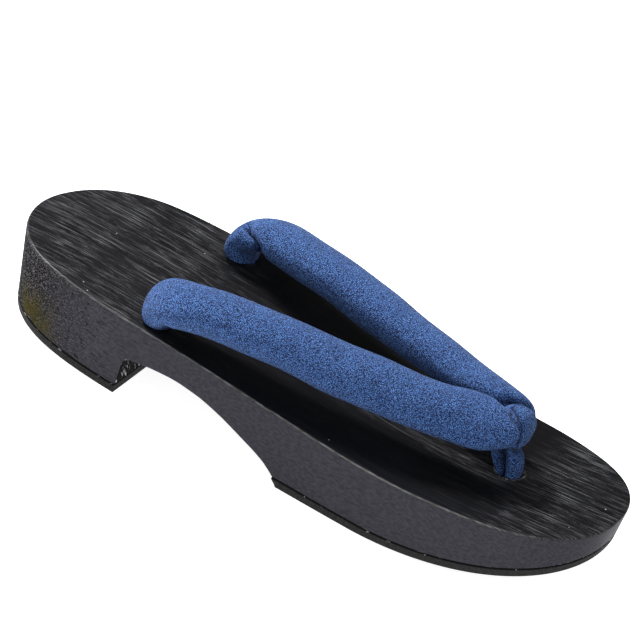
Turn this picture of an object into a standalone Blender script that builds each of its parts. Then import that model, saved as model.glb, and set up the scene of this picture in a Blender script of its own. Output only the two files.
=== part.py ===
"""Geta sandal, one shoe for either foot.

A one-piece wooden base with a heel block and an arch, two rubber soles,
a padded V of side straps and a front thong that loops over the V's apex.
Metres, +Z up, X across the shoe, the toe at -Y and the heel at +Y, the floor at Z = 0.
"""

import math

import bmesh
import bpy
import numpy as np

MM = 0.001

# Driving sizes of the wooden base
LENGTH = 270 * MM
WIDTH = 94.4 * MM
HALF_LENGTH = LENGTH / 2
DECK_HEIGHT = 33 * MM
BLANK_DEPTH = 50 * MM
EDGE_ROUND = 1.4 * MM
HEEL_LEAN = 6.3 * MM
TOE_LEAN = 3.0 * MM
TOUCH_GAP = 0.3 * MM
RUBBER_THICK = 3.6 * MM

# The plan outline is two round shoulders: how far each one reaches, and how full it is
TOE_SHOULDER = {"reach": 0.886 * LENGTH, "fullness": 2.278}
HEEL_SHOULDER = {"reach": 0.758 * LENGTH, "fullness": 1.837}
SHOULDER_ROUNDNESS = 9

# Deck height along the shoe: place along Y, height
DECK_LINE = (
    (-135 * MM, 35.2 * MM),
    (-95 * MM, 30.9 * MM),
    (-50 * MM, 28.3 * MM),
    (0 * MM, 30.5 * MM),
    (50 * MM, 33.1 * MM),
    (95 * MM, 33.5 * MM),
    (135 * MM, 31.4 * MM),
)

# Underside of the arch, from the heel block's corner to the front sole: place along Y, height
HEEL_FRONT = 63 * MM
HEEL_CORNER_RADIUS = 3.6 * MM
ARCH_END = -11.2 * MM
ARCH_LINE = (
    (59.4 * MM, 17.7 * MM),
    (50 * MM, 19.3 * MM),
    (40 * MM, 20.0 * MM),
    (30 * MM, 19.2 * MM),
    (20 * MM, 17.0 * MM),
    (8 * MM, 13.1 * MM),
    (-5 * MM, 8.0 * MM),
    (ARCH_END, RUBBER_THICK + TOUCH_GAP),
)

# Toe spring: the sole is flat up to its start and then rises by a power curve
SPRING_START = -47 * MM
SPRING_RISE = 20.3 * MM
SPRING_POWER = 1.85
FRONT_SOLE_END = -13.7 * MM

# Holes and recesses for the straps
TOE_HOLE_PLACE = -86.6 * MM
TOE_HOLE_RADIUS = 5.5 * MM
TOE_RECESS_RADIUS = 10 * MM
TOE_RECESS_TOP = 16.5 * MM
REAR_HOLE_X = 36.2 * MM
REAR_HOLE_PLACE = 57.6 * MM
REAR_HOLE_RADIUS = 4.6 * MM
REAR_RECESS_PLACE = 55.8 * MM
REAR_RECESS_RADIUS = 7.1 * MM
REAR_RECESS_TOP = 24 * MM

# How finely the curves are cut into facets, and how far a cutter runs past the shoe
OUTLINE_STEPS = 56
EDGE_STEPS = 4
CORNER_STEPS = 4
ARCH_STEPS = 24
SPRING_STEPS = 30
STRAP_SIDES = 20
THONG_SIDES = 18
HOLE_SIDES = 32
KNOT_SIDES = 20
KNOT_RINGS = 10
SHARP_ANGLE = math.radians(35)
CUT_MARGIN = 20 * MM

# Side strap, the +X arm, from its knot to the V's apex. Columns, in millimetres and degrees:
# x, y, z of the middle; turn of the width in plan; pitch, 0 upright and 90 level; lean, outer
# edge down; half the width; half the thickness; sections up to the next row
STRAP_ROWS = {
    "knot foot": (36.2, 55.8, 17.5, 0, 90, 0, 2.6, 2.6, 1),
    "knot low": (36.2, 55.8, 18.4, 0, 90, 0, 5.2, 5.2, 1),
    "knot middle": (36.2, 55.8, 20.6, 0, 90, 0, 6.4, 6.4, 1),
    "knot top": (36.2, 56.0, 23.0, 0, 90, 0, 5.4, 5.4, 1),
    "hole foot": (36.2, 57.4, 23.6, 0, 90, 0, 4.0, 4.0, 1),
    "hole mouth": (36.2, 57.6, 33.6, 0, 90, 0, 4.1, 4.1, 1),
    "on the deck": (35.9, 58.5, 33.8, 8, 90, 0, 7.6, 6.2, 1),
    "tail": (36.2, 59.4, 36.4, 18, 88, 2, 9.8, 6.8, 1),
    "fold back": (36.4, 58.9, 40.0, 21, 64, 3, 12.4, 7.1, 2),
    "fold top": (37.3, 55.4, 43.6, 21, 34, 7, 13.2, 7.4, 2),
    "arm end": (37.5, 50.0, 46.4, 16, 8, 6, 12.7, 7.9, 2),
    "arm rear": (34.2, 35.0, 48.4, 11, 0, 4, 12.2, 8.6, 3),
    "arm middle": (29.4, 10.0, 49.1, 11, 0, 13, 12.3, 8.9, 3),
    "arm ahead": (23.1, -20.0, 48.2, 13, 0, 20, 12.5, 8.7, 3),
    "arm front": (16.1, -50.0, 48.3, 15, 0, 25, 12.4, 8.0, 2),
    "arm nose": (12.1, -65.0, 49.6, 16, 0, 34, 12.2, 7.0, 2),
    "bend start": (9.4, -74.8, 50.3, 26, 0, 38, 10.9, 7.0, 2),
    "bend": (7.8, -79.1, 50.8, 44, 0, 36, 7.7, 6.7, 2),
    "bend end": (5.8, -80.9, 50.8, 58, 0, 24, 6.4, 6.2, 2),
    "neck side": (3.2, -80.7, 50.2, 74, 0, 10, 4.6, 5.6, 1),
    "neck": (0.0, -80.4, 49.8, 90, 0, 0, 4.0, 5.4, 0),
}

# Front thong, from the foot of its rear leg, over the neck, to the foot of its front leg.
# Columns, in millimetres and degrees: y, z of the middle; turn of the section about X, 0 where
# the thong runs up and -180 where it runs down; half the width across the shoe; half the
# thickness; how much wider the outer face is than the inner one; sections up to the next row
THONG_ROWS = {
    "rear leg foot": (-83.4, 13.5, 0, 3.0, 1.8, 0.0, 1),
    "rear leg in the hole": (-83.8, 29.8, 10, 3.2, 1.7, 0.0, 1),
    "rear leg": (-81.3, 33.5, 32, 3.6, 1.9, 0.0, 2),
    "rear bend": (-76.6, 41.5, 24, 3.4, 2.3, 0.1, 2),
    "crotch": (-74.2, 48.5, 6, 2.4, 2.0, 0.2, 2),
    "crotch top": (-74.4, 53.6, -22, 2.8, 2.0, 0.3, 2),
    "top rear": (-76.8, 57.0, -50, 3.8, 2.1, 0.3, 2),
    "top": (-80.4, 58.3, -90, 5.4, 2.3, 0.3, 2),
    "top front": (-84.6, 56.2, -132, 6.4, 2.5, 0.25, 2),
    "front": (-86.7, 51.0, -176, 6.7, 2.6, 0.2, 2),
    "under the apex": (-86.2, 45.2, -190, 5.6, 2.7, 0.1, 2),
    "front leg top": (-85.6, 40.5, -180, 4.4, 3.0, 0.0, 2),
    "front leg": (-87.6, 34.2, -163, 4.0, 2.8, 0.0, 1),
    "front leg in the hole": (-89.0, 29.2, -170, 3.5, 2.5, 0.0, 1),
    "front leg foot": (-88.2, 13.5, -180, 3.2, 2.5, 0.0, 0),
}
THONG_KNOT_HALF = (8.0 * MM, 8.0 * MM, 3.1 * MM)
THONG_KNOT_HEIGHT = 12.9 * MM


def clear_scene():
    """Take the objects of a fresh scene away."""
    for old in list(bpy.data.objects):
        bpy.data.objects.remove(old, do_unlink=True)


def new_collection(name):
    """Make a collection in the scene."""
    made = bpy.data.collections.new(name)
    bpy.context.scene.collection.children.link(made)
    return made


def new_material(name, colour, roughness, metallic=0.0):
    """Make a Principled material."""
    made = bpy.data.materials.new(name)
    made.use_nodes = True
    shader = made.node_tree.nodes["Principled BSDF"]
    shader.inputs["Base Color"].default_value = (*colour, 1.0)
    shader.inputs["Roughness"].default_value = roughness
    shader.inputs["Metallic"].default_value = metallic
    return made


def eased(knots, places):
    """Monotone cubic curve through knots of (place, value), read at the places."""
    knots = np.array(knots, dtype=float)
    at, value = knots[knots[:, 0].argsort()].T
    step = np.diff(at)
    rise = np.diff(value) / step
    slope = np.zeros(len(at))
    turns = rise[:-1] * rise[1:] <= 0
    both = np.where(turns, 1.0, rise[:-1] + rise[1:])
    slope[1:-1] = np.where(turns, 0.0, 2 * rise[:-1] * rise[1:] / both)
    slope[0] = rise[0]
    slope[-1] = rise[-1]
    cell = np.clip(np.searchsorted(at, places, side="right") - 1, 0, len(step) - 1)
    share = (places - at[cell]) / step[cell]
    start_weight = (1 + 2 * share) * (1 - share) ** 2
    end_weight = share**2 * (3 - 2 * share)
    start_pull = share * (1 - share) ** 2 * step[cell]
    end_pull = share**2 * (share - 1) * step[cell]
    return (
        start_weight * value[cell]
        + end_weight * value[cell + 1]
        + start_pull * slope[cell]
        + end_pull * slope[cell + 1]
    )


def smooth_rows(table):
    """Read a table of sections between its rows, as its last column says how finely."""
    rows = np.array(list(table.values()), dtype=float)
    places = [0.0]
    for index, parts in enumerate(rows[:-1, -1].astype(int)):
        places.extend(index + (part + 1) / parts for part in range(parts))
    number = np.arange(len(rows))
    columns = [eased(np.column_stack((number, column)), np.array(places)) for column in rows[:, :-1].T]
    return np.column_stack(columns)


def shoulder(share, fullness):
    """Rise of the outline from an end, 0 at the tip and 1 where the shoulder ends."""
    share = np.clip(share, 0.0, 1.0)
    return (1 - (1 - share) ** SHOULDER_ROUNDNESS) ** (1 / fullness)


def half_width(place):
    """Half the width of the deck at a place along the shoe."""
    toe = shoulder((place + HALF_LENGTH) / TOE_SHOULDER["reach"], TOE_SHOULDER["fullness"])
    heel = shoulder((HALF_LENGTH - place) / HEEL_SHOULDER["reach"], HEEL_SHOULDER["fullness"])
    return WIDTH / 2 * toe * heel


def deck_height(place):
    """Height of the deck at a place along the shoe."""
    return eased(DECK_LINE, np.clip(place, -HALF_LENGTH, HALF_LENGTH))


def sole_bottom(place):
    """Height of the front sole's underside: flat, then the toe spring."""
    share = np.maximum(SPRING_START - place, 0.0) / (HALF_LENGTH + SPRING_START)
    return SPRING_RISE * share**SPRING_POWER


def sole_top(place):
    """Height of the front sole's upper face, one rubber thickness square to its underside."""
    share = np.maximum(SPRING_START - place, 0.0) / (HALF_LENGTH + SPRING_START)
    slope = SPRING_RISE * SPRING_POWER * share ** (SPRING_POWER - 1) / (HALF_LENGTH + SPRING_START)
    return sole_bottom(place) + RUBBER_THICK * np.sqrt(1 + slope**2)


def outline_half(inset):
    """Right half of the plan outline from the toe tip to the heel tip, moved in by the inset."""
    turn = np.linspace(0, math.pi, OUTLINE_STEPS + 1)
    along = -HALF_LENGTH * np.cos(turn)
    across = half_width(along)
    across[[0, -1]] = 0.0
    tangent = np.column_stack((np.gradient(across), np.gradient(along)))
    tangent[[0, -1]] = ((1, 0), (-1, 0))
    tangent /= np.linalg.norm(tangent, axis=1)[:, None]
    across = across - inset * tangent[:, 1]
    along = along + inset * tangent[:, 0]
    across[[0, -1]] = 0.0
    return across, along


def end_lean(along, depth):
    """The end walls lean in towards the floor, more at the heel than at the toe."""
    lean = np.where(along > 0, HEEL_LEAN, TOE_LEAN)
    return along * (1 - lean / HALF_LENGTH * depth / DECK_HEIGHT)


def plan_ring(inset, drop):
    """Closed ring of the outline, dropped below the deck."""
    across, along = outline_half(inset)
    height = deck_height(along) - drop
    leaned = end_lean(along, drop)
    right = np.column_stack((across, leaned, height))
    left = right[-2:0:-1] * (-1, 1, 1)
    return np.vstack((right, left))


def mesh_object(name, verts, faces, collection):
    """Make an object of the given faces, with its normals pointing out."""
    mesh = bpy.data.meshes.new(name)
    mesh.from_pydata([tuple(vert) for vert in verts], [], faces)
    shape = bmesh.new()
    shape.from_mesh(mesh)
    bmesh.ops.recalc_face_normals(shape, faces=shape.faces)
    shape.to_mesh(mesh)
    shape.free()
    made = bpy.data.objects.new(name, mesh)
    collection.objects.link(made)
    return made


def ring_faces(rings, sides):
    """Faces between each ring and the next."""
    faces = []
    for ring in range(rings - 1):
        for side in range(sides):
            after = (side + 1) % sides
            faces.append(
                (
                    ring * sides + side,
                    ring * sides + after,
                    (ring + 1) * sides + after,
                    (ring + 1) * sides + side,
                )
            )
    return faces


def plan_cap(start):
    """Strips across the outline's ring that starts at the given point."""
    steps = OUTLINE_STEPS
    sides = 2 * steps
    faces = [(start, start + 1, start + sides - 1)]
    for station in range(1, steps - 1):
        faces.append(
            (
                start + station,
                start + station + 1,
                start + sides - station - 1,
                start + sides - station,
            )
        )
    faces.append((start + steps - 1, start + steps, start + steps + 1))
    return faces


def plan_blank(name, collection, levels):
    """Solid of the plan outline, with one ring for each level of (inset, drop below the deck)."""
    rings = [plan_ring(inset, drop) for inset, drop in levels]
    sides = 2 * OUTLINE_STEPS
    faces = ring_faces(len(rings), sides)
    faces += plan_cap(0)
    faces += plan_cap((len(rings) - 1) * sides)
    return mesh_object(name, np.vstack(rings), faces, collection)


def side_prism(name, collection, profile):
    """Solid of a side view, given as points of (place along the shoe, height), right across."""
    count = len(profile)
    verts = [(side * WIDTH, place, height) for side in (-1, 1) for place, height in profile]
    faces = ring_faces(2, count)
    faces += [tuple(range(count)), tuple(range(count, 2 * count))]
    return mesh_object(name, verts, faces, collection)


def as_cutter(made):
    """Mark an object as a cutter, which isn't part of the shoe."""
    made.hide_render = True
    made.display_type = "WIRE"
    return made


def add_boolean(target, cutter, operation):
    """Cut, join or trim a piece with another mesh."""
    step = target.modifiers.new(cutter.name, "BOOLEAN")
    step.operation = operation
    step.solver = "EXACT"
    step.object = cutter


def cylinder_cutter(name, collection, centre, half_size):
    """Upright round or oval cutter: half sizes along X, Y and Z."""
    bpy.ops.mesh.primitive_cylinder_add(vertices=HOLE_SIDES, radius=1, depth=2, location=centre)
    made = bpy.context.active_object
    made.name = name
    made.scale = half_size
    bpy.ops.object.transform_apply(location=False, rotation=False, scale=True)
    move_to(made, collection)
    return as_cutter(made)


def move_to(made, collection):
    """Keep an object in one collection only."""
    for old in list(made.users_collection):
        old.objects.unlink(made)
    collection.objects.link(made)


def arch_profile():
    """Side view of all that is carved away under the base, as one closed line."""
    beyond = HALF_LENGTH + CUT_MARGIN
    below = -BLANK_DEPTH
    foot = RUBBER_THICK + TOUCH_GAP
    corner_top = ARCH_LINE[0][1]
    corner = [
        (
            HEEL_FRONT - HEEL_CORNER_RADIUS * (1 - math.cos(turn)),
            corner_top - HEEL_CORNER_RADIUS * (1 - math.sin(turn)),
        )
        for turn in np.linspace(0, math.pi / 2, CORNER_STEPS + 1)[:-1]
    ]
    arch_places = np.linspace(ARCH_LINE[0][0], ARCH_END, ARCH_STEPS)
    arch = list(zip(arch_places, eased(ARCH_LINE, arch_places)))
    spring_places = np.linspace(SPRING_START, -beyond, SPRING_STEPS)
    spring = list(zip(spring_places, sole_top(spring_places) + TOUCH_GAP))
    return [(-beyond, below), (beyond, below), (beyond, foot), (HEEL_FRONT, foot)] + corner + arch + spring


def front_sole_profile():
    """Side view of the front rubber sole, as one closed line."""
    beyond = HALF_LENGTH + CUT_MARGIN
    places = np.linspace(SPRING_START, -beyond, SPRING_STEPS)
    bottom = list(zip(places, sole_bottom(places)))
    top = list(zip(places, sole_top(places)))
    return [(FRONT_SOLE_END, 0.0)] + bottom + top[::-1] + [(ARCH_END, RUBBER_THICK)]


def heel_sole_profile():
    """Side view of the heel's rubber sole."""
    beyond = HALF_LENGTH + CUT_MARGIN
    return [(HEEL_FRONT, 0.0), (beyond, 0.0), (beyond, RUBBER_THICK), (HEEL_FRONT, RUBBER_THICK)]


def section_ring(middle, width_axis, depth_axis, half_size, sides, flare=0.0):
    """Oval ring of a soft tube; flare makes its outer face wider than its inner one."""
    turn = np.arange(sides) * 2 * math.pi / sides
    across = half_size[0] * np.cos(turn) * (1 + flare * np.sin(turn))
    out = half_size[1] * np.sin(turn)
    return middle + across[:, None] * width_axis + out[:, None] * depth_axis


def strap_rings(grow):
    """Sections of the +X arm, from its knot to the middle of the neck."""
    rings = []
    for row in smooth_rows(STRAP_ROWS):
        middle = row[:3] * MM
        turn, pitch, lean = np.radians(row[3:6])
        half_size = row[6:8] * MM + grow
        sideways = np.array((math.cos(turn), -math.sin(turn), 0.0))
        back = np.array((math.sin(turn), math.cos(turn), 0.0))
        upward = math.cos(pitch) * np.array((0.0, 0.0, 1.0)) + math.sin(pitch) * back
        width_axis = math.cos(lean) * sideways - math.sin(lean) * upward
        depth_axis = math.sin(lean) * sideways + math.cos(lean) * upward
        rings.append(section_ring(middle, width_axis, depth_axis, half_size, STRAP_SIDES))
    rings[-1][:, 0] = 0.0
    return rings


def side_straps(name, collection, grow=0.0):
    """Both arms of the V as one solid: the +X arm, open at the neck, and its mirror image."""
    rings = strap_rings(grow)
    faces = ring_faces(len(rings), STRAP_SIDES)
    faces.append(tuple(range(STRAP_SIDES)))
    made = mesh_object(name, np.vstack(rings), faces, collection)
    mirror = made.modifiers.new("other arm", "MIRROR")
    mirror.use_axis = (True, False, False)
    mirror.use_clip = True
    mirror.merge_threshold = 0.0001
    return made


def front_thong(name, collection):
    """The thong as one bent tube, with a section for each row and those between."""
    rings = []
    for along, height, turn, half_across, half_thick, flare in smooth_rows(THONG_ROWS):
        angle = math.radians(turn)
        middle = np.array((0.0, along * MM, height * MM))
        outward = np.array((0.0, math.cos(angle), -math.sin(angle)))
        half_size = (half_across * MM, half_thick * MM)
        across = np.array((1.0, 0.0, 0.0))
        rings.append(section_ring(middle, across, outward, half_size, THONG_SIDES, flare))
    count = len(rings)
    faces = ring_faces(count, THONG_SIDES)
    faces.append(tuple(range(THONG_SIDES)))
    faces.append(tuple(range((count - 1) * THONG_SIDES, count * THONG_SIDES)))
    return mesh_object(name, np.vstack(rings), faces, collection)


def build_base(parts, cutters):
    """Carve the wooden base: blank, underside, holes and recesses."""
    rounding = [
        (EDGE_ROUND * (1 - math.cos(turn)), EDGE_ROUND * (1 - math.sin(turn)))
        for turn in np.linspace(0, math.pi / 2, EDGE_STEPS)
    ]
    base = plan_blank("wooden_base", parts, [(0.0, BLANK_DEPTH)] + rounding)
    add_boolean(base, as_cutter(side_prism("carved_underside", cutters, arch_profile())), "DIFFERENCE")
    toe_middle = (0.0, TOE_HOLE_PLACE, DECK_HEIGHT / 2)
    toe_half = (TOE_HOLE_RADIUS, TOE_HOLE_RADIUS, DECK_HEIGHT)
    add_boolean(base, cylinder_cutter("toe_hole", cutters, toe_middle, toe_half), "DIFFERENCE")
    recess_half = (TOE_RECESS_RADIUS, TOE_RECESS_RADIUS, TOE_RECESS_TOP)
    recess = cylinder_cutter("toe_recess", cutters, (0.0, TOE_HOLE_PLACE, 0.0), recess_half)
    add_boolean(base, recess, "DIFFERENCE")
    for side, word in ((-1, "left"), (1, "right")):
        hole_middle = (side * REAR_HOLE_X, REAR_HOLE_PLACE, REAR_RECESS_TOP)
        hole_half = (REAR_HOLE_RADIUS, REAR_HOLE_RADIUS, DECK_HEIGHT / 2)
        hole = cylinder_cutter(f"rear_hole_{word}", cutters, hole_middle, hole_half)
        add_boolean(base, hole, "DIFFERENCE")
        recess_middle = (side * REAR_HOLE_X, REAR_RECESS_PLACE, REAR_RECESS_TOP / 2)
        recess_half = (REAR_RECESS_RADIUS, REAR_RECESS_RADIUS, REAR_RECESS_TOP / 2)
        recess = cylinder_cutter(f"rear_recess_{word}", cutters, recess_middle, recess_half)
        add_boolean(base, recess, "DIFFERENCE")
    return base


def build_sole(name, profile, parts, cutters):
    """Rubber sole: the plan outline trimmed to a side view."""
    sole = plan_blank(name, parts, [(0.0, BLANK_DEPTH), (0.0, 0.0)])
    add_boolean(sole, as_cutter(side_prism(f"{name}_side_view", cutters, profile)), "INTERSECT")
    return sole


def build_thong(parts, cutters):
    """The thong pressed onto the straps, with its knot in the toe recess."""
    thong = front_thong("front_thong", parts)
    bpy.ops.mesh.primitive_uv_sphere_add(
        segments=KNOT_SIDES,
        ring_count=KNOT_RINGS,
        radius=1,
        location=(0.0, TOE_HOLE_PLACE, THONG_KNOT_HEIGHT),
    )
    knot = bpy.context.active_object
    knot.name = "thong_knot"
    knot.scale = THONG_KNOT_HALF
    bpy.ops.object.transform_apply(location=False, rotation=False, scale=True)
    move_to(knot, cutters)
    add_boolean(thong, as_cutter(knot), "UNION")
    pressed = as_cutter(side_straps("room_for_the_straps", cutters, grow=TOUCH_GAP))
    add_boolean(thong, pressed, "DIFFERENCE")
    return thong


def main():
    """Build the shoe."""
    clear_scene()
    parts = new_collection("geta_sandal")
    cutters = new_collection("cutters")
    wood = new_material("black_wood", (0.02, 0.02, 0.022), 0.45)
    rubber = new_material("black_rubber", (0.03, 0.03, 0.03), 0.85)
    crepe = new_material("blue_crepe", (0.035, 0.1, 0.36), 0.9)

    base = build_base(parts, cutters)
    base.data.materials.append(wood)

    front = build_sole("front_rubber_sole", front_sole_profile(), parts, cutters)
    recess_half = (TOE_RECESS_RADIUS, TOE_RECESS_RADIUS, TOE_RECESS_TOP)
    recess = cylinder_cutter("sole_recess", cutters, (0.0, TOE_HOLE_PLACE, 0.0), recess_half)
    add_boolean(front, recess, "DIFFERENCE")
    front.data.materials.append(rubber)

    heel = build_sole("heel_rubber_sole", heel_sole_profile(), parts, cutters)
    heel.data.materials.append(rubber)

    straps = side_straps("side_straps", parts)
    straps.data.materials.append(crepe)

    thong = build_thong(parts, cutters)
    thong.data.materials.append(crepe)

    for made in (base, front, heel, straps, thong):
        made.data.shade_smooth()
        made.data.set_sharp_from_angle(angle=SHARP_ANGLE)


main()
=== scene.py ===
"""Looks of a geta sandal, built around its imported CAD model.

The wooden base, the two rubber soles, the side straps and the front thong are worked out again as
fine surfaces, from the same named sizes as the CAD model, and dressed as black brushed wood, black
rubber and blue crepe. Metres, +Z up, the toe at -Y and the heel at +Y, the floor at Z = 0.
"""

import logging
import math
from collections.abc import Callable
from dataclasses import dataclass, field
from enum import Enum

import bmesh
import bpy
import numpy as np
from mathutils import Matrix, Vector


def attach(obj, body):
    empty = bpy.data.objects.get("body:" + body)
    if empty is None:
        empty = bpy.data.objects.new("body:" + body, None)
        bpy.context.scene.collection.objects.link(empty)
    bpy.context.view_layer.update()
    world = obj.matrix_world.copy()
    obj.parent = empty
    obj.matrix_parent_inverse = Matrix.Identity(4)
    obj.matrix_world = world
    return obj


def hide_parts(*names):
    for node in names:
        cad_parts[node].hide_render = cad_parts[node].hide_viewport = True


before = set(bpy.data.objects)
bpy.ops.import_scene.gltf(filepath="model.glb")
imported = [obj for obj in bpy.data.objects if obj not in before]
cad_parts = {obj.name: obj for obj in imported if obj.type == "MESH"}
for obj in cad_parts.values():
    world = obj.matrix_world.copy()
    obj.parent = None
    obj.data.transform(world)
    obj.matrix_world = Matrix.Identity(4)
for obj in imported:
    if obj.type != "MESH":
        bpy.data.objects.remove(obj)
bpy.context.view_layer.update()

# Kinds of value that many lines name
Piece = bpy.types.Object
Socket = bpy.types.NodeSocket
Point = tuple[float, float, float]
Colour = tuple[float, float, float]
Ramp = tuple[float, ...]

LOG = logging.getLogger("geta_sandal")
MM = 0.001
BODY = "root"
MERGE = 2e-7  # points closer than this are made one
SHARP_ANGLE = math.radians(28)  # edges sharper than this are shaded sharp
CORRECTIONS = 6  # rounds in which a height and its leaned place settle


class Slot(Enum):
    """Names of the material slots."""

    WOOD = "black_wood"
    RUBBER = "black_rubber"
    CREPE = "blue_crepe"


class Side(Enum):
    """The two arms of the V: the near one lies at -X and the far one at +X."""

    NEAR = -1
    FAR = 1


class Tread(Enum):
    """The two rubber soles, by the names of their pieces."""

    FRONT = "front_tread"
    HEEL = "heel_tread"


# ---- curves and grids


def eased(knots: np.ndarray, places: np.ndarray) -> np.ndarray:
    """Read a monotone cubic curve: each cell joins two knots, and a turning knot is level.

    Args:
        knots: rows of place and value.
        places: where the curve is read.

    Returns:
        The curve's value at each place.
    """
    knots = np.array(knots, dtype=float)
    at, value = knots[knots[:, 0].argsort()].T
    step = np.diff(at)
    rise = np.diff(value) / step
    turns = rise[:-1] * rise[1:] <= 0
    both = np.where(turns, 1.0, rise[:-1] + rise[1:])
    slope = np.zeros(len(at))
    slope[1:-1] = np.where(turns, 0.0, 2 * rise[:-1] * rise[1:] / both)
    slope[0] = rise[0]
    slope[-1] = rise[-1]
    cell = np.clip(np.searchsorted(at, places, side="right") - 1, 0, len(step) - 1)
    share = (places - at[cell]) / step[cell]
    start = (1 + 2 * share) * (1 - share) ** 2 * value[cell]
    end = share**2 * (3 - 2 * share) * value[cell + 1]
    start_pull = share * (1 - share) ** 2 * step[cell] * slope[cell]
    end_pull = share**2 * (share - 1) * step[cell] * slope[cell + 1]
    return start + end + start_pull + end_pull


def blurred(values: np.ndarray, reach: float) -> np.ndarray:
    """Smooth the columns of an evenly spaced table with a bell curve, its ends held in place.

    Args:
        values: one row for each place.
        reach: the bell curve's standard deviation, in rows.

    Returns:
        The smoothed table, of the same size.
    """
    half = max(1, int(3 * reach))
    offsets = np.arange(-half, half + 1)
    bell = np.exp(-0.5 * (offsets / reach) ** 2)
    bell /= bell.sum()
    table = values.reshape(len(values), -1)
    padded = np.pad(table, ((half, half), (0, 0)), mode="reflect", reflect_type="odd")
    smooth = np.column_stack([np.convolve(column, bell, mode="valid") for column in padded.T])
    return smooth.reshape(values.shape)


def along_length(points: np.ndarray) -> np.ndarray:
    """Distance from a line's start to each of its points."""
    steps = np.linalg.norm(np.diff(points, axis=0), axis=1)
    return np.concatenate(([0.0], np.cumsum(steps)))


def read_table(table: np.ndarray, at: np.ndarray, places: np.ndarray) -> np.ndarray:
    """Read a table between its rows, in straight lines.

    Args:
        table: the rows, each a number, a row of numbers or a row of points.
        at: the place of each row.
        places: where the table is read.

    Returns:
        One row for each place.
    """
    columns = table.reshape(len(table), -1).T
    read = np.column_stack([np.interp(places, at, column) for column in columns])
    return read.reshape(len(places), *table.shape[1:])


def smooth_step(low: float, high: float, values: np.ndarray) -> np.ndarray:
    """Rise from 0 at the low value to 1 at the high value, level at both."""
    share = np.clip((values - low) / (high - low), 0.0, 1.0)
    return share * share * (3 - 2 * share)


def plateau(edges: Ramp, values: np.ndarray) -> np.ndarray:
    """Rise from 0 to 1 between the first two edges, and fall back between the last two."""
    return smooth_step(*edges[:2], values) * (1 - smooth_step(*edges[2:], values))


def unit(vectors: np.ndarray) -> np.ndarray:
    """Vectors brought to length 1, along the last axis."""
    return vectors / np.maximum(np.linalg.norm(vectors, axis=-1, keepdims=True), 1e-12)


def grid_normals(grid: np.ndarray, middle: np.ndarray) -> np.ndarray:
    """Outward normals of a tube: the cross product of its two directions.

    Args:
        grid: points as stations by sides by 3, closed round the sides.
        middle: the tube's middle at each station.

    Returns:
        One unit normal for each point, pointing away from the middle.
    """
    along = np.gradient(grid, axis=0)
    around = np.roll(grid, -1, axis=1) - np.roll(grid, 1, axis=1)
    normal = unit(np.cross(along, around))
    inward = np.sum(normal * (grid - middle[:, None, :]), axis=-1, keepdims=True) < 0
    return np.where(inward, -normal, normal)


def tube_faces(rows: int, columns: int, caps: tuple[bool, bool] = (True, True)) -> list[list[int]]:
    """Faces of a tube, from a grid that is closed round its columns.

    Args:
        rows: how many rings it has.
        columns: how many points a ring has.
        caps: whether a flat face closes the first ring, and whether one closes the last.

    Returns:
        The faces as lists of indices.
    """
    row, column = np.meshgrid(np.arange(rows - 1), np.arange(columns), indexing="ij")
    after = (column + 1) % columns
    quads = (
        row * columns + column,
        row * columns + after,
        (row + 1) * columns + after,
        (row + 1) * columns + column,
    )
    faces = np.stack(quads, axis=-1).reshape(-1, 4).tolist()
    for ring, capped in zip((0, rows - 1), caps):
        if capped:
            faces.append(list(range(ring * columns, (ring + 1) * columns)))
    return faces


def new_piece(
    name: str, verts: np.ndarray, faces: list[list[int]], marks: dict[str, np.ndarray]
) -> Piece:
    """Make a closed smooth piece at the origin, doubles merged and faces outward.

    Args:
        name: the piece's name.
        verts: its points.
        faces: its faces, as lists of indices.
        marks: a value between 0 and 1 for each point, under each attribute's name.

    Returns:
        The new object.
    """
    mesh = bpy.data.meshes.new(name)
    mesh.from_pydata(verts.reshape(-1, 3).tolist(), [], faces)
    for mark, values in marks.items():
        attribute = mesh.attributes.new(mark, "FLOAT", "POINT")
        attribute.data.foreach_set("value", values.astype(np.float32).ravel())
    shape = bmesh.new()
    shape.from_mesh(mesh)
    bmesh.ops.remove_doubles(shape, verts=shape.verts, dist=MERGE)
    bmesh.ops.recalc_face_normals(shape, faces=shape.faces)
    shape.to_mesh(mesh)
    shape.free()
    mesh.shade_smooth()
    mesh.set_sharp_from_angle(angle=SHARP_ANGLE)
    piece = bpy.data.objects.new(name, mesh)
    bpy.context.scene.collection.objects.link(piece)
    return piece


def finish_modifiers(piece: Piece) -> None:
    """Apply a piece's modifiers to its mesh.

    Args:
        piece: the piece, which keeps its place and name.
    """
    bpy.context.view_layer.update()
    done = piece.evaluated_get(bpy.context.evaluated_depsgraph_get())
    mesh = bpy.data.meshes.new_from_object(done)
    piece.modifiers.clear()
    piece.data = mesh


def discard(helper: Piece) -> None:
    """Remove a helper object and its mesh.

    Args:
        helper: the object.
    """
    mesh = helper.data
    bpy.data.objects.remove(helper, do_unlink=True)
    bpy.data.meshes.remove(mesh)


def place(piece: Piece, node: str, slot: Slot) -> None:
    """Put a piece in the place of a CAD node, and report it.

    Args:
        piece: the fine piece.
        node: the CAD node that it stands for.
        slot: not used.
    """
    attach(piece, BODY)
    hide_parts(node)
    piece.data.calc_loop_triangles()
    LOG.info("%s: %d triangles", piece.name, len(piece.data.loop_triangles))


# ---- node tools


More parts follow.
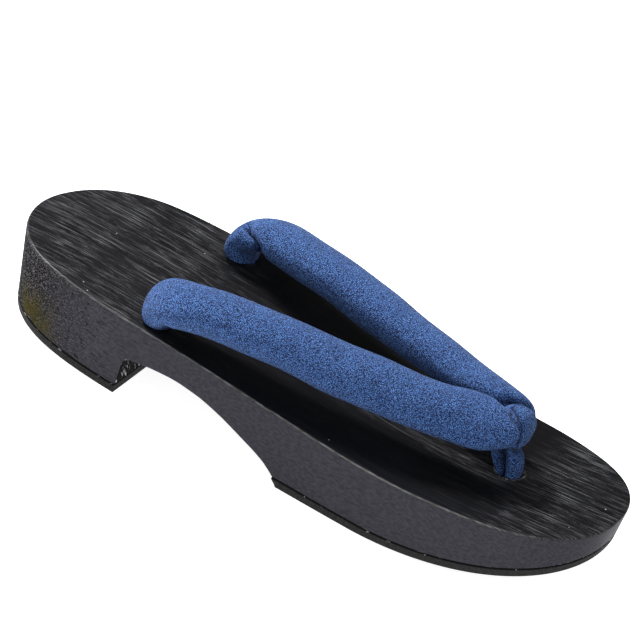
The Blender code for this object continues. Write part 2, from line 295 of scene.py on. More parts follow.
@dataclass
class Nodes:
    """Adds nodes and links to a material's or a group's tree."""

    tree: bpy.types.NodeTree

    def add(self, kind: str, **values: object) -> bpy.types.Node:
        """Add a node.

        Args:
            kind: the node's Blender type.
            values: a setting by its name, or an input by its label, or its number after "in".
                A socket as a value is linked, and anything else is set.

        Returns:
            The node.
        """
        node = self.tree.nodes.new(kind)
        for name, value in values.items():
            if hasattr(node, name):
                setattr(node, name, value)
                continue
            key = int(name[2:]) if name[:2] == "in" else name.replace("_", " ")
            self.give(node.inputs[key], value)
        return node

    def give(self, target: Socket, value: object) -> None:
        """Link a socket to an input, or set the input to anything else.

        Args:
            target: the input.
            value: the socket, or the input's value.
        """
        if isinstance(value, Socket):
            self.tree.links.new(value, target)
        else:
            target.default_value = value

    def math(self, operation: str, first: object, second: object = 0.0) -> Socket:
        """Work out one number from two, each a socket or a number."""
        return self.add("ShaderNodeMath", operation=operation, in0=first, in1=second).outputs[0]

    def product(self, first: Socket, *others: object) -> Socket:
        """Multiply a socket by others, each a socket or a number.

        Args:
            first: the socket.
            others: what it is multiplied by, in this order.

        Returns:
            The product.
        """
        for other in others:
            first = self.math("MULTIPLY", first, other)
        return first

    def ramp(
        self, value: object, low: object, high: object, start: float = 0.0, end: float = 1.0
    ) -> Socket:
        """Carry a value's range from low to high onto start to end, and stop at both."""
        node = self.add("ShaderNodeMapRange", in0=value, in1=low, in2=high, in3=start, in4=end)
        return node.outputs[0]

    def blend(self, share: object, first: object, second: object) -> Socket:
        """Mix two colours, each a socket or red, green and blue.

        Args:
            share: how much of the second there is, from 0 to 1.
            first: the first colour.
            second: the second colour.

        Returns:
            The mixed colour.
        """
        node = self.add("ShaderNodeMix", data_type="RGBA", in0=share)
        for key, value in ((6, first), (7, second)):
            self.give(node.inputs[key], value if isinstance(value, Socket) else (*value, 1.0))
        return node.outputs[2]

    def vectors(self, operation: str, **values: object) -> bpy.types.Node:
        """Add a vector math node."""
        return self.add("ShaderNodeVectorMath", operation=operation, **values)

    def noise(self, where: Socket, scale: float | Point, detail: float) -> Socket:
        """Smooth noise from 0 to 1, with one scale or a scale for each axis.

        Args:
            where: the place.
            scale: the noise's scale, or one along each axis.
            detail: how many finer noises are added.

        Returns:
            The noise.
        """
        if isinstance(scale, tuple):
            where = self.vectors("MULTIPLY", in0=where, in1=scale).outputs[0]
            scale = 1.0
        return self.add("ShaderNodeTexNoise", Vector=where, Scale=scale, Detail=detail).outputs[0]

    def bent(self, where: Socket, scale: float, reach: Point) -> Socket:
        """Move a place by noise of the given scale times the reach along each axis.

        Args:
            where: the place.
            scale: the noise's scale.
            reach: the longest move along each axis.

        Returns:
            The moved place.
        """
        noise = self.add("ShaderNodeTexNoise", Vector=where, Scale=scale, Detail=1.0)
        colour = noise.outputs["Color"]
        return self.vectors("MULTIPLY_ADD", in0=colour, in1=reach, in2=where).outputs[0]

    def here(self) -> Socket:
        """The place on the piece, in the shoe's own metres."""
        return self.add("ShaderNodeTexCoord").outputs["Object"]

    def mark(self, name: str) -> Socket:
        """A mark that the mesh's points carry, from 0 to 1."""
        return self.add("ShaderNodeAttribute", attribute_name=name).outputs["Fac"]

    def bump(self, height: Socket, depth: float) -> Socket:
        """Turn a height between 0 and 1 into a normal, for a relief of the given depth."""
        return self.add("ShaderNodeBump", Strength=1.0, Distance=depth, Height=height).outputs[0]


def new_group(
    name: str, inputs: dict[str, str], outputs: dict[str, str]
) -> tuple[Nodes, dict[str, Socket], dict[str, Socket]]:
    """Start a shader node group.

    Args:
        name: the group's name.
        inputs: each input's name and socket type.
        outputs: each output's name and socket type.

    Returns:
        The tree's tools, the inputs' sockets and the outputs' sockets, by name.
    """
    tree = bpy.data.node_groups.new(name, "ShaderNodeTree")
    for way, sockets in (("INPUT", inputs), ("OUTPUT", outputs)):
        for label, kind in sockets.items():
            tree.interface.new_socket(label, in_out=way, socket_type=kind)
    nodes = Nodes(tree)
    given = nodes.add("NodeGroupInput").outputs
    result = nodes.add("NodeGroupOutput").inputs
    given_by_name = {label: given[label] for label in inputs}
    return nodes, given_by_name, {label: result[label] for label in outputs}


FLOAT = "NodeSocketFloat"
VECTOR = "NodeSocketVector"
STREAK_INPUTS = ("Fineness", "Rise", "Length", "Low", "High")


def long_grain_group() -> bpy.types.NodeTree:
    """Group of the brushed grain: noise drawn out along the shoe and cut off to leave streaks.

    Its inputs are the place, the streaks in a metre across and in a metre of height, how many
    times longer than wide a streak is, and the values of the noise where a streak begins and is
    full. It puts out the streaks and the relief, both from 0 to 1.

    Returns:
        The group.
    """
    nodes, given, result = new_group(
        "long_grain",
        {"Place": VECTOR, **dict.fromkeys(STREAK_INPUTS, FLOAT)},
        {"Streak": FLOAT, "Relief": FLOAT},
    )
    wavering = nodes.bent(given["Place"], 14.0, (0.0022, 0.0, 0.0022))
    along = nodes.math("DIVIDE", given["Fineness"], given["Length"])
    scale = nodes.add("ShaderNodeCombineXYZ", X=given["Fineness"], Y=along, Z=given["Rise"])
    drawn = nodes.vectors("MULTIPLY", in0=wavering, in1=scale.outputs[0]).outputs[0]
    grain = nodes.add("ShaderNodeTexNoise", Vector=drawn, Scale=1.0, Detail=3.0, Roughness=0.6)
    noise = grain.outputs[0]
    nodes.give(result["Streak"], nodes.ramp(noise, given["Low"], given["High"]))
    nodes.give(result["Relief"], nodes.ramp(noise, 0.3, 0.72))
    return nodes.tree


def crepe_group() -> bpy.types.NodeTree:
    """Group of the crepe: round grains, closely packed and bent a little out of line.

    Its inputs are the place and the grains in a metre. It puts out the relief, 1 on a grain and
    0 between grains, and a slow change of tone, both from 0 to 1.

    Returns:
        The group.
    """
    nodes, given, result = new_group(
        "crepe_grain",
        {"Place": VECTOR, "Fineness": FLOAT},
        {"Relief": FLOAT, "Tone": FLOAT},
    )
    moved = nodes.bent(given["Place"], 900.0, (0.0009, 0.0009, 0.0009))
    cells = nodes.add("ShaderNodeTexVoronoi", Vector=moved, Scale=given["Fineness"])
    nodes.give(result["Relief"], nodes.ramp(cells.outputs["Distance"], 0.15, 0.85, 1.0, 0.0))
    slow = nodes.noise(given["Place"], 160.0, 3.0)
    nodes.give(result["Tone"], nodes.ramp(slow, 0.35, 0.65))
    return nodes.tree


def speck_group() -> bpy.types.NodeTree:
    """Group of the dust: a few tiny round specks, 1 on a speck and 0 elsewhere.

    Its inputs are the place, the cells in a metre and the share of the cells that hold a speck.

    Returns:
        The group.
    """
    nodes, given, result = new_group(
        "dust_specks",
        {"Place": VECTOR, "Spacing": FLOAT, "Share": FLOAT},
        {"Speck": FLOAT},
    )
    cells = nodes.add("ShaderNodeTexVoronoi", Vector=given["Place"], Scale=given["Spacing"])
    close = nodes.math("LESS_THAN", cells.outputs["Distance"], 0.075)
    chosen = nodes.add("ShaderNodeSeparateColor", in0=cells.outputs["Color"])
    kept = nodes.math("LESS_THAN", chosen.outputs[0], given["Share"])
    nodes.give(result["Speck"], nodes.product(close, kept))
    return nodes.tree


@dataclass
class Effects:
    """The node groups that more than one finish uses, each built once."""

    long_grain: bpy.types.NodeTree = field(default_factory=long_grain_group)
    crepe: bpy.types.NodeTree = field(default_factory=crepe_group)
    specks: bpy.types.NodeTree = field(default_factory=speck_group)


def new_material(name: str) -> tuple[Nodes, bpy.types.Node, bpy.types.Material]:
    """Start a material.

    Args:
        name: the material's name.

    Returns:
        The tools of its tree, its Principled shader and the material.
    """
    made = bpy.data.materials.new(name)
    made.use_nodes = True
    return Nodes(made.node_tree), made.node_tree.nodes["Principled BSDF"], made


# ---- finishes


@dataclass(frozen=True)
class Streaks:
    """One layer of the wood's grain: its fineness, its length, its cut-offs and its strength.

    The rise is the fineness in height; a low one leaves streaks whole where the deck slopes.
    """

    fineness: float
    length: float
    low: float
    high: float
    share: float
    rise: float = 260.0

    def layer(self, nodes: Nodes, effects: Effects, here: Socket) -> bpy.types.Node:
        """Add the layer, which puts out its streaks and its relief.

        Args:
            nodes: the material's tools.
            effects: the shared node groups.
            here: the place on the piece.

        Returns:
            The group's node.
        """
        grain = nodes.add("ShaderNodeGroup", node_tree=effects.long_grain, Place=here)
        for label in STREAK_INPUTS:
            grain.inputs[label].default_value = getattr(self, label.lower())
        return grain


@dataclass(frozen=True)
class Mottle:
    """Patches of noise: their scale, the noise's low and high, and what they give there."""

    scale: float | Point
    low: float
    high: float
    start: float = 0.0
    end: float = 1.0
    detail: float = 2.0

    def over(self, nodes: Nodes, where: Socket) -> Socket:
        """The patches over a piece."""
        noise = nodes.noise(where, self.scale, self.detail)
        return nodes.ramp(noise, self.low, self.high, self.start, self.end)


@dataclass(frozen=True)
class WoodMarks:
    """What each step of the wood's finish reads: the place, and the marks of the base's mesh."""

    here: Socket
    across: Socket
    along: Socket
    deck: Socket
    end: Socket
    edge: Socket


@dataclass(frozen=True)
class BrushedWood:
    """Black stained wood: light streaks of brushed grain, edge wear with a painted highlight on it,
    a pebbled end grain, dust.

    A ramp holds the low and the high of what it reads, and then what it gives there, 0 and 1
    where it says nothing else. The roughness and the coat hold their least and their most.
    """

    name: str
    dark: Colour = (0.0030, 0.0030, 0.0038)
    streak: Colour = (0.14, 0.141, 0.153)
    # colour of the bare edge wear, partly a painted highlight on the rounded edge
    worn_and_highlit: Colour = (0.15, 0.15, 0.152)
    # wall colour, lighter than the deck: partly a painted reflection of the pale floor
    side: Colour = (0.0375, 0.0363, 0.045)
    end_light: Colour = (0.105, 0.1, 0.104)
    # light spots round the toe hole: partly chipping, partly painted glints
    chip_and_glint: Colour = (0.3, 0.28, 0.25)
    dust: Colour = (0.3, 0.3, 0.31)
    stain: Colour = (0.045, 0.037, 0.004)
    bands: Streaks = Streaks(1000.0, 50.0, 0.42, 0.74, 0.06)
    lines: Streaks = Streaks(2600.0, 80.0, 0.565, 0.68, 0.86)
    dashes: Streaks = Streaks(2800.0, 30.0, 0.6, 0.69, 0.92)
    scores: Streaks = Streaks(1500.0, 8.0, 0.55, 0.62, 1.0, 1500.0)
    line_patches: Mottle = Mottle((75.0, 26.0, 75.0), 0.36, 0.64, 0.72)
    dash_patches: Mottle = Mottle((120.0, 60.0, 120.0), 0.38, 0.64, 0.6)
    wall_patches: Mottle = Mottle((1100.0, 500.0, 1100.0), 0.35, 0.68, 0.0, 0.4)
    pebbles: Mottle = Mottle((1900.0, 1000.0, 2500.0), 0.53, 0.6, detail=1.0)
    rubbing_and_highlight: Mottle = Mottle((1300.0, 260.0, 1300.0), 0.36, 0.66, 0.2, detail=4.0)
    chip_and_glint_patches: Mottle = Mottle(1100.0, 0.52, 0.6)
    soaking: Mottle = Mottle(130.0, 0.36, 0.62, 0.25, detail=4.0)
    wall_light: float = 0.05
    # painted shade of the straps: the share of streaks left where the straps shade the deck, and
    # its edges
    strap_shade_share: float = 0.08
    strap_shade_border: Ramp = (5 * MM, 18 * MM)
    strap_shade_front: Ramp = (-106 * MM, -86 * MM)
    strap_shade_rear: Ramp = (42 * MM, 68 * MM, 1.0, 0.0)
    tip_light: Ramp = (-134 * MM, -108 * MM, 0.72, 1.0)
    heel_scores: Ramp = (40 * MM, 80 * MM, 0.1, 0.42)
    end_scores: Ramp = (0.05, 0.45)
    end_dark: Ramp = (0.4, 0.95, 0.0, 0.92)
    below_deck: Ramp = (0.0, 0.3, 1.0, 0.0)
    pebble_spread: float = 1.6
    pebble_height: float = 4.0
    # where the edge wear and its painted highlight fade: at the end grain, the toe and the heel
    end_rub_and_highlight: Ramp = (0.0, 0.6, 1.0, 0.3)
    toe_rub_and_highlight: Ramp = (-124 * MM, -100 * MM, 0.25, 1.0)
    heel_rub_and_highlight: Ramp = (70 * MM, 112 * MM, 0.85, 0.3)
    toe_hole: Point = (0.0, -86.6 * MM, 0.0)
    chip_and_glint_from: Ramp = (5.2 * MM, 5.6 * MM)
    chip_and_glint_to: Ramp = (6.0 * MM, 7.0 * MM, 1.0, 0.0)
    dust_spacing: float = 260.0
    dust_share: float = 0.03
    stain_place: Point = (-37.5 * MM, 109 * MM, 4 * MM)
    stain_reach: Ramp = (3 * MM, 19 * MM, 0.9, 0.0)
    relief: float = 0.04 * MM
    line_relief: float = 0.55
    band_relief: float = 0.45
    wall_relief: Ramp = (0.0, 1.0, 0.35, 0.0)
    roughness: tuple[float, float] = (0.36, 0.56)
    end_roughness: float = 0.5
    specular: float = 0.02
    coat: tuple[float, float] = (0.03, 0.2)
    end_coat: Ramp = (0.0, 1.0, 1.0, 0.1)
    coat_roughness: float = 0.3

    def fade(self, nodes: Nodes, marks: WoodMarks) -> Socket:
        """Share of the streaks that is left.

        Few are left along both borders of the forefoot, a painted shade where the straps shade the
        deck, and fewer at the tip.

        Args:
            nodes: the material's tools.
            marks: what the finish reads.

        Returns:
            The share, from 0 to 1.
        """
        border = nodes.ramp(marks.across, *self.strap_shade_border)
        front = nodes.ramp(marks.along, *self.strap_shade_front)
        rear = nodes.ramp(marks.along, *self.strap_shade_rear)
        # painted shade: the deck that the straps shade keeps few streaks
        smooth = nodes.product(border, front, rear)
        tip = nodes.ramp(marks.along, *self.tip_light)
        return nodes.product(tip, nodes.ramp(smooth, 0.0, 1.0, 1.0, self.strap_shade_share))

    def light(
        self, nodes: Nodes, marks: WoodMarks, lines: Socket, dashes: Socket, bands: Socket
    ) -> Socket:
        """Share of the light grain: the stronger of lines and dashes, over broad bands.

        Args:
            nodes: the material's tools.
            marks: what the finish reads.
            lines: the long streaks.
            dashes: the short streaks.
            bands: the broad streaks.

        Returns:
            The share, from 0 to 1, next to none of it on the walls.
        """
        line = nodes.product(lines, self.line_patches.over(nodes, marks.here), self.lines.share)
        dash = nodes.product(dashes, self.dash_patches.over(nodes, marks.here), self.dashes.share)
        band = nodes.product(bands, self.bands.share)
        light = nodes.math("ADD", nodes.math("MAXIMUM", line, dash), band)
        on_deck = nodes.ramp(marks.deck, 0.0, 1.0, self.wall_light)
        return nodes.product(light, on_deck, self.fade(nodes, marks))

    def scored(self, nodes: Nodes, marks: WoodMarks, scores: Socket) -> Socket:
        """Share of the dark on the walls: short scores, more at the heel, and the end grain.

        Args:
            nodes: the material's tools.
            marks: what the finish reads.
            scores: the short scores.

        Returns:
            The share, from 0 to 1.
        """
        heel = nodes.ramp(marks.along, *self.heel_scores)
        end = nodes.ramp(marks.end, *self.end_scores, 0.0, self.scores.share)
        where = nodes.product(
            nodes.math("MAXIMUM", heel, end), nodes.ramp(marks.deck, *self.below_deck)
        )
        end_grain = nodes.ramp(marks.end, *self.end_dark)
        return nodes.math("MAXIMUM", nodes.product(scores, where), end_grain)

    def rubbed_and_highlit(self, nodes: Nodes, marks: WoodMarks) -> Socket:
        """Share of bare wood along the edges, partly a painted highlight on the rounded edge, less
        of it at the toe and towards the heel.

        Args:
            nodes: the material's tools.
            marks: what the finish reads.

        Returns:
            The share, from 0 to 1.
        """
        return nodes.product(
            marks.edge,
            self.rubbing_and_highlight.over(nodes, marks.here),
            nodes.ramp(marks.end, *self.end_rub_and_highlight),
            nodes.ramp(marks.along, *self.toe_rub_and_highlight),
            nodes.ramp(marks.along, *self.heel_rub_and_highlight),
        )

    def chipped_and_glinting(self, nodes: Nodes, marks: WoodMarks) -> Socket:
        """Share of the light spots in a ring round the toe hole, partly chipping of the wood and
        partly painted glints on its rim.

        Args:
            nodes: the material's tools.
            marks: what the finish reads.

        Returns:
            The share, from 0 to 1.
        """
        apart = nodes.vectors("SUBTRACT", in0=marks.here, in1=self.toe_hole).outputs[0]
        flat = nodes.vectors("MULTIPLY", in0=apart, in1=(1.0, 1.0, 0.0)).outputs[0]
        reach = nodes.vectors("LENGTH", in0=flat).outputs["Value"]
        ring = nodes.product(
            nodes.ramp(reach, *self.chip_and_glint_from), nodes.ramp(reach, *self.chip_and_glint_to)
        )
        return nodes.product(ring, marks.deck, self.chip_and_glint_patches.over(nodes, marks.here))

    def dusted(self, nodes: Nodes, marks: WoodMarks, effects: Effects) -> Socket:
        """Share of the dust specks on the deck.

        Args:
            nodes: the material's tools.
            marks: what the finish reads.
            effects: the shared node groups.

        Returns:
            The share, 0 or 1.
        """
        specks = nodes.add("ShaderNodeGroup", node_tree=effects.specks, Place=marks.here)
        specks.inputs["Spacing"].default_value = self.dust_spacing
        specks.inputs["Share"].default_value = self.dust_share
        return nodes.product(specks.outputs[0], marks.deck)

    def soaked(self, nodes: Nodes, marks: WoodMarks) -> Socket:
        """Share of the olive stain, which fades with its distance from one place.

        Args:
            nodes: the material's tools.
            marks: what the finish reads.

        Returns:
            The share, from 0 to 1.
        """
        away = nodes.vectors("DISTANCE", in0=marks.here, in1=self.stain_place).outputs["Value"]
        fading = nodes.ramp(away, *self.stain_reach)
        return nodes.product(fading, self.soaking.over(nodes, marks.here))

    def material(self, effects: Effects) -> bpy.types.Material:
        """Build the material: the grain on the deck, the walls, lighter partly as a painted
        reflection of the pale floor, and the wear over both, with its painted highlight and glints.

        Args:
            effects: the shared node groups.

        Returns:
            The material.
        """
        nodes, shader, made = new_material(self.name)
        here = nodes.here()
        apart = nodes.add("ShaderNodeSeparateXYZ", Vector=here)
        marks = WoodMarks(
            here,
            nodes.math("ABSOLUTE", apart.outputs["X"]),
            apart.outputs["Y"],
            *(nodes.mark(name) for name in ("deck", "end", "edge")),
        )
        bands, lines, dashes, scores = (
            streaks.layer(nodes, effects, here).outputs
            for streaks in (self.bands, self.lines, self.dashes, self.scores)
        )
        light = self.light(nodes, marks, lines["Streak"], dashes["Streak"], bands["Streak"])
        pebbles = nodes.product(
            self.pebbles.over(nodes, here), nodes.math("POWER", marks.end, self.pebble_spread)
        )
        # painted reflection: the walls are lighter than the deck, partly standing for the pale
        # floor's reflection
        wall = nodes.blend(self.wall_patches.over(nodes, here), self.side, self.dark)
        colour = nodes.blend(light, nodes.blend(marks.deck, wall, self.dark), self.streak)
        for share, tint in (
            (self.scored(nodes, marks, scores["Streak"]), self.dark),
            (pebbles, self.end_light),
            (self.rubbed_and_highlit(nodes, marks), self.worn_and_highlit),
            (self.chipped_and_glinting(nodes, marks), self.chip_and_glint),
            (self.dusted(nodes, marks, effects), self.dust),
            (self.soaked(nodes, marks), self.stain),
        ):
            colour = nodes.blend(share, colour, tint)
        fine = nodes.product(lines["Relief"], self.line_relief)
        coarse = nodes.product(bands["Relief"], self.band_relief)
        height = nodes.product(nodes.math("ADD", fine, coarse), marks.deck)
        scoring = nodes.product(scores["Relief"], nodes.ramp(marks.deck, *self.wall_relief))
        height = nodes.math("ADD", height, scoring)
        height = nodes.math("ADD", height, nodes.product(pebbles, self.pebble_height))
        rough = nodes.ramp(lines["Relief"], 0.0, 1.0, *self.roughness)
        rough = nodes.math("ADD", rough, nodes.product(marks.end, self.end_roughness))
        polish = nodes.product(
            nodes.ramp(marks.end, *self.end_coat), nodes.ramp(marks.deck, 0.0, 1.0, *self.coat)
        )
        nodes.give(shader.inputs["Base Color"], colour)
        nodes.give(shader.inputs["Roughness"], rough)
        nodes.give(shader.inputs["Coat Weight"], polish)
        nodes.give(shader.inputs["Normal"], nodes.bump(height, self.relief))
        shader.inputs["Coat Roughness"].default_value = self.coat_roughness
        shader.inputs["Specular IOR Level"].default_value = self.specular
        return made


@dataclass(frozen=True)
class SawnWood:
    """The cut faces under the arch and in front of the heel: the same stain over saw marks."""

    name: str
    dark: Colour = (0.002, 0.002, 0.0026)
    light: Colour = (0.4, 0.4, 0.41)
    marks: Mottle = Mottle((1000.0, 150.0, 170.0), 0.55, 0.63)
    slant: float = math.radians(35)
    relief: float = 0.4 * MM
    roughness: float = 0.7
    specular: float = 0.03

    def material(self) -> bpy.types.Material:
        """Build the material, its saw marks turned by the slant.

        Returns:
            The material.
        """
        nodes, shader, made = new_material(self.name)
        turn = (0.0, self.slant, 0.0)
        turned = nodes.add("ShaderNodeMapping", Vector=nodes.here(), Rotation=turn).outputs[0]
        mark = self.marks.over(nodes, turned)
        nodes.give(shader.inputs["Base Color"], nodes.blend(mark, self.dark, self.light))
        nodes.give(shader.inputs["Normal"], nodes.bump(mark, self.relief))
        shader.inputs["Roughness"].default_value = self.roughness
        shader.inputs["Specular IOR Level"].default_value = self.specular
        return made


@dataclass(frozen=True)
class MattRubber:
    """Black rubber: a matt skin with a fine pebble and a few pale spots at the joint, partly dried
    adhesive and partly painted glints.
    """

    name: str
    dark: Colour = (0.009, 0.009, 0.009)
    light: Colour = (0.024, 0.0238, 0.0232)
    shade: Colour = (0.001, 0.001, 0.001)
    # pale spots at the joint: partly adhesive, partly painted glints
    glue_and_glint: Colour = (0.2, 0.195, 0.19)
    pebble_scale: float = 1500.0
    pebble_tone: Ramp = (0.35, 0.65)
    joint: Ramp = (0.0, 0.5)
    joint_shade: float = 0.95
    spots: Mottle = Mottle(420.0, 0.62, 0.68)
    relief: float = 0.1 * MM
    roughness: float = 0.75
    specular: float = 0.12

    def material(self) -> bpy.types.Material:
        """Build the material, dark along the joint, with pale spots there that are partly adhesive
        and partly painted glints.

        Returns:
            The material.
        """
        nodes, shader, made = new_material(self.name)
        here = nodes.here()
        pebble = nodes.noise(here, self.pebble_scale, 3.0)
        colour = nodes.blend(nodes.ramp(pebble, *self.pebble_tone), self.dark, self.light)
        joint = nodes.ramp(nodes.mark("edge"), *self.joint)
        colour = nodes.blend(nodes.product(joint, self.joint_shade), colour, self.shade)
        glued_and_glinting = nodes.product(joint, self.spots.over(nodes, here))
        nodes.give(shader.inputs["Base Color"], nodes.blend(glued_and_glinting, colour, self.glue_and_glint))
        nodes.give(shader.inputs["Normal"], nodes.bump(pebble, self.relief))
        shader.inputs["Roughness"].default_value = self.roughness
        shader.inputs["Specular IOR Level"].default_value = self.specular
        return made


@dataclass(frozen=True)
class Crepe:
    """Blue crepe: a matt cloth of small round grains, with painted shade between them and a painted
    highlight on their crests.
    """

    name: str
    # painted shade, in the pits between grains and in the creases' troughs
    pit_shade: Colour = (0.003, 0.009, 0.036)
    cloth: Colour = (0.0155, 0.051, 0.175)
    # painted highlight on the grains' crests
    grain: Colour = (0.118, 0.262, 0.615)
    fineness: float = 2400.0
    slopes: Ramp = (0.2, 0.6)
    crests: Ramp = (0.55, 1.0)
    tone: Ramp = (0.0, 1.0, 0.75, 1.0)
    crease_shade_share: float = 0.8
    relief: float = 0.24 * MM
    roughness: float = 0.92
    specular: float = 0.25
    sheen: float = 0.03
    sheen_roughness: float = 0.6

    def material(self, effects: Effects) -> bpy.types.Material:
        """Build the material: painted shade in the pits, the slopes, a painted highlight on the
        crests of the grain, and painted shade in the creases' troughs.

        Args:
            effects: the shared node groups.

        Returns:
            The material.
        """
        nodes, shader, made = new_material(self.name)
        weave = nodes.add("ShaderNodeGroup", node_tree=effects.crepe, Place=nodes.here())
        weave.inputs["Fineness"].default_value = self.fineness
        relief = weave.outputs["Relief"]
        slope = nodes.ramp(relief, *self.slopes)
        tone = nodes.ramp(weave.outputs["Tone"], *self.tone)
        crest_highlight = nodes.product(nodes.ramp(relief, *self.crests), tone)
        colour = nodes.blend(crest_highlight, nodes.blend(slope, self.pit_shade, self.cloth), self.grain)
        # painted shade in the creases' troughs, blended towards the dark of the pits
        crease_shade = nodes.product(nodes.mark("crease_shade"), self.crease_shade_share)
        nodes.give(shader.inputs["Base Color"], nodes.blend(crease_shade, colour, self.pit_shade))
        nodes.give(shader.inputs["Normal"], nodes.bump(relief, self.relief))
        shader.inputs["Roughness"].default_value = self.roughness
        shader.inputs["Specular IOR Level"].default_value = self.specular
        shader.inputs["Sheen Weight"].default_value = self.sheen
        shader.inputs["Sheen Roughness"].default_value = self.sheen_roughness
        return made


# ---- the shoe's lines


@dataclass
class WallLine:
    """A line along the wall, station by station: places before the lean, and heights."""

    along: np.ndarray
    height: np.ndarray


@dataclass(frozen=True)
class ShoeLines:
    """The plan outline, deck, arch and toe spring that the base and both soles share.

    The deck line and the arch line are place along the shoe and height, in millimetres.
    """

    length: float = 270 * MM
    width: float = 94.4 * MM
    deck_level: float = 33 * MM
    toe_lean: float = 3.0 * MM
    heel_lean: float = 6.3 * MM
    touch_gap: float = 0.3 * MM
    rubber_thick: float = 3.6 * MM
    toe_reach: float = 0.886
    toe_fullness: float = 2.278
    heel_reach: float = 0.758
    heel_fullness: float = 1.837
    shoulder_roundness: float = 9
    heel_front: float = 63 * MM
    heel_corner: float = 3.6 * MM
    heel_foot_round: float = 0.7 * MM
    arch_end: float = -11.2 * MM
    spring_start: float = -47 * MM
    spring_rise: float = 20.3 * MM
    spring_power: float = 1.85
    front_sole_end: float = -13.7 * MM
    tip_power: float = 2.2
    deck_line: tuple[tuple[float, float], ...] = (
        (-135, 35.2),
        (-95, 30.9),
        (-50, 28.3),
        (0, 30.5),
        (50, 33.1),
        (95, 33.5),
        (135, 31.4),
    )
    arch_line: tuple[tuple[float, float], ...] = (
        (59.4, 17.7),
        (50, 19.3),
        (40, 20.0),
        (30, 19.2),
        (20, 17.0),
        (8, 13.1),
        (-5, 8.0),
        (-11.2, 3.9),
    )

    @property
    def half_length(self) -> float:
        """Half the length of the shoe."""
        return self.length / 2

    @property
    def spring_run(self) -> float:
        """Length of the toe spring along the shoe."""
        return self.half_length + self.spring_start

    def half_width(self, along: np.ndarray) -> np.ndarray:
        """Half the deck's width: the product of two shoulders, (1 - (1 - share)^9)^(1 / fullness).

        Args:
            along: places along the shoe.

        Returns:
            Half the width at each place.
        """
        shares = (
            ((along + self.half_length) / (self.toe_reach * self.length), self.toe_fullness),
            ((self.half_length - along) / (self.heel_reach * self.length), self.heel_fullness),
        )
        width = self.width / 2
        for share, fullness in shares:
            rest = 1 - np.clip(share, 0.0, 1.0)
            width = width * (1 - rest**self.shoulder_roundness) ** (1 / fullness)
        return width

    def deck(self, along: np.ndarray) -> np.ndarray:
        """Height of the deck."""
        knots = np.array(self.deck_line) * MM
        return eased(knots, np.clip(along, -self.half_length, self.half_length))

    def spring_share(self, along: np.ndarray) -> np.ndarray:
        """Share of the way from the spring's start to the toe, 0 behind it."""
        return np.maximum(self.spring_start - along, 0.0) / self.spring_run

    def spring(self, along: np.ndarray) -> np.ndarray:
        """Height of the front sole's underside: flat, then a power curve up to the toe."""
        return self.spring_rise * self.spring_share(along) ** self.spring_power

    def spring_top(self, along: np.ndarray) -> np.ndarray:
        """Height of the front sole's upper face, one rubber thickness square to its underside.

        Args:
            along: places along the shoe.

        Returns:
            The height at each place.
        """
        steepness = self.spring_share(along) ** (self.spring_power - 1)
        slope = self.spring_rise * self.spring_power * steepness / self.spring_run
        return self.spring(along) + self.rubber_thick * np.sqrt(1 + slope**2)

    def wood_above_spring(self, along: np.ndarray) -> np.ndarray:
        """Height of the wood's underside, one gap above the front sole."""
        return self.spring_top(along) + self.touch_gap

    def rubber_level(self, along: np.ndarray) -> np.ndarray:
        """Height of the heel sole's upper face."""
        return np.full_like(along, self.rubber_thick)

    def lean_share(self, along: np.ndarray, drop: np.ndarray) -> np.ndarray:
        """Share by which a place moves in, in proportion to its drop below the deck."""
        lean = np.where(along > 0, self.heel_lean, self.toe_lean)
        return lean / self.half_length * drop / self.deck_level

    def lean(self, along: np.ndarray, drop: np.ndarray) -> np.ndarray:
        """The place where a point of the wall ends up, with the walls leaning in."""
        return along * (1 - self.lean_share(along, drop))

    def unlean(self, seen: np.ndarray, height: np.ndarray) -> np.ndarray:
        """The place before the walls lean in, found in a few rounds of correction.

        Args:
            seen: places on the leaning wall.
            height: their heights.

        Returns:
            The places before the lean.
        """
        along = seen
        for _ in range(CORRECTIONS):
            along = seen / (1 - self.lean_share(along, self.deck(along) - height))
        return along

    def wall(self, along: np.ndarray, height: np.ndarray) -> np.ndarray:
        """Points of the wall: half the width, the leaned place and the height.

        Args:
            along: places before the lean.
            height: heights at those places.

        Returns:
            The points, along the last axis.
        """
        across = self.half_width(along)
        drop = self.deck(along) - height
        return np.stack((across, self.lean(along, drop), height), axis=-1)

    def wall_line(
        self, along: np.ndarray, height_of: Callable[[np.ndarray], np.ndarray]
    ) -> WallLine:
        """A line along the wall that keeps a given height at each leaned place.

        Args:
            along: its places before the lean.
            height_of: gives the height at a leaned place.

        Returns:
            The line, its heights found in a few rounds of correction.
        """
        height = height_of(along)
        for _ in range(CORRECTIONS):
            height = height_of(self.lean(along, self.deck(along) - height))
        return WallLine(along, height)


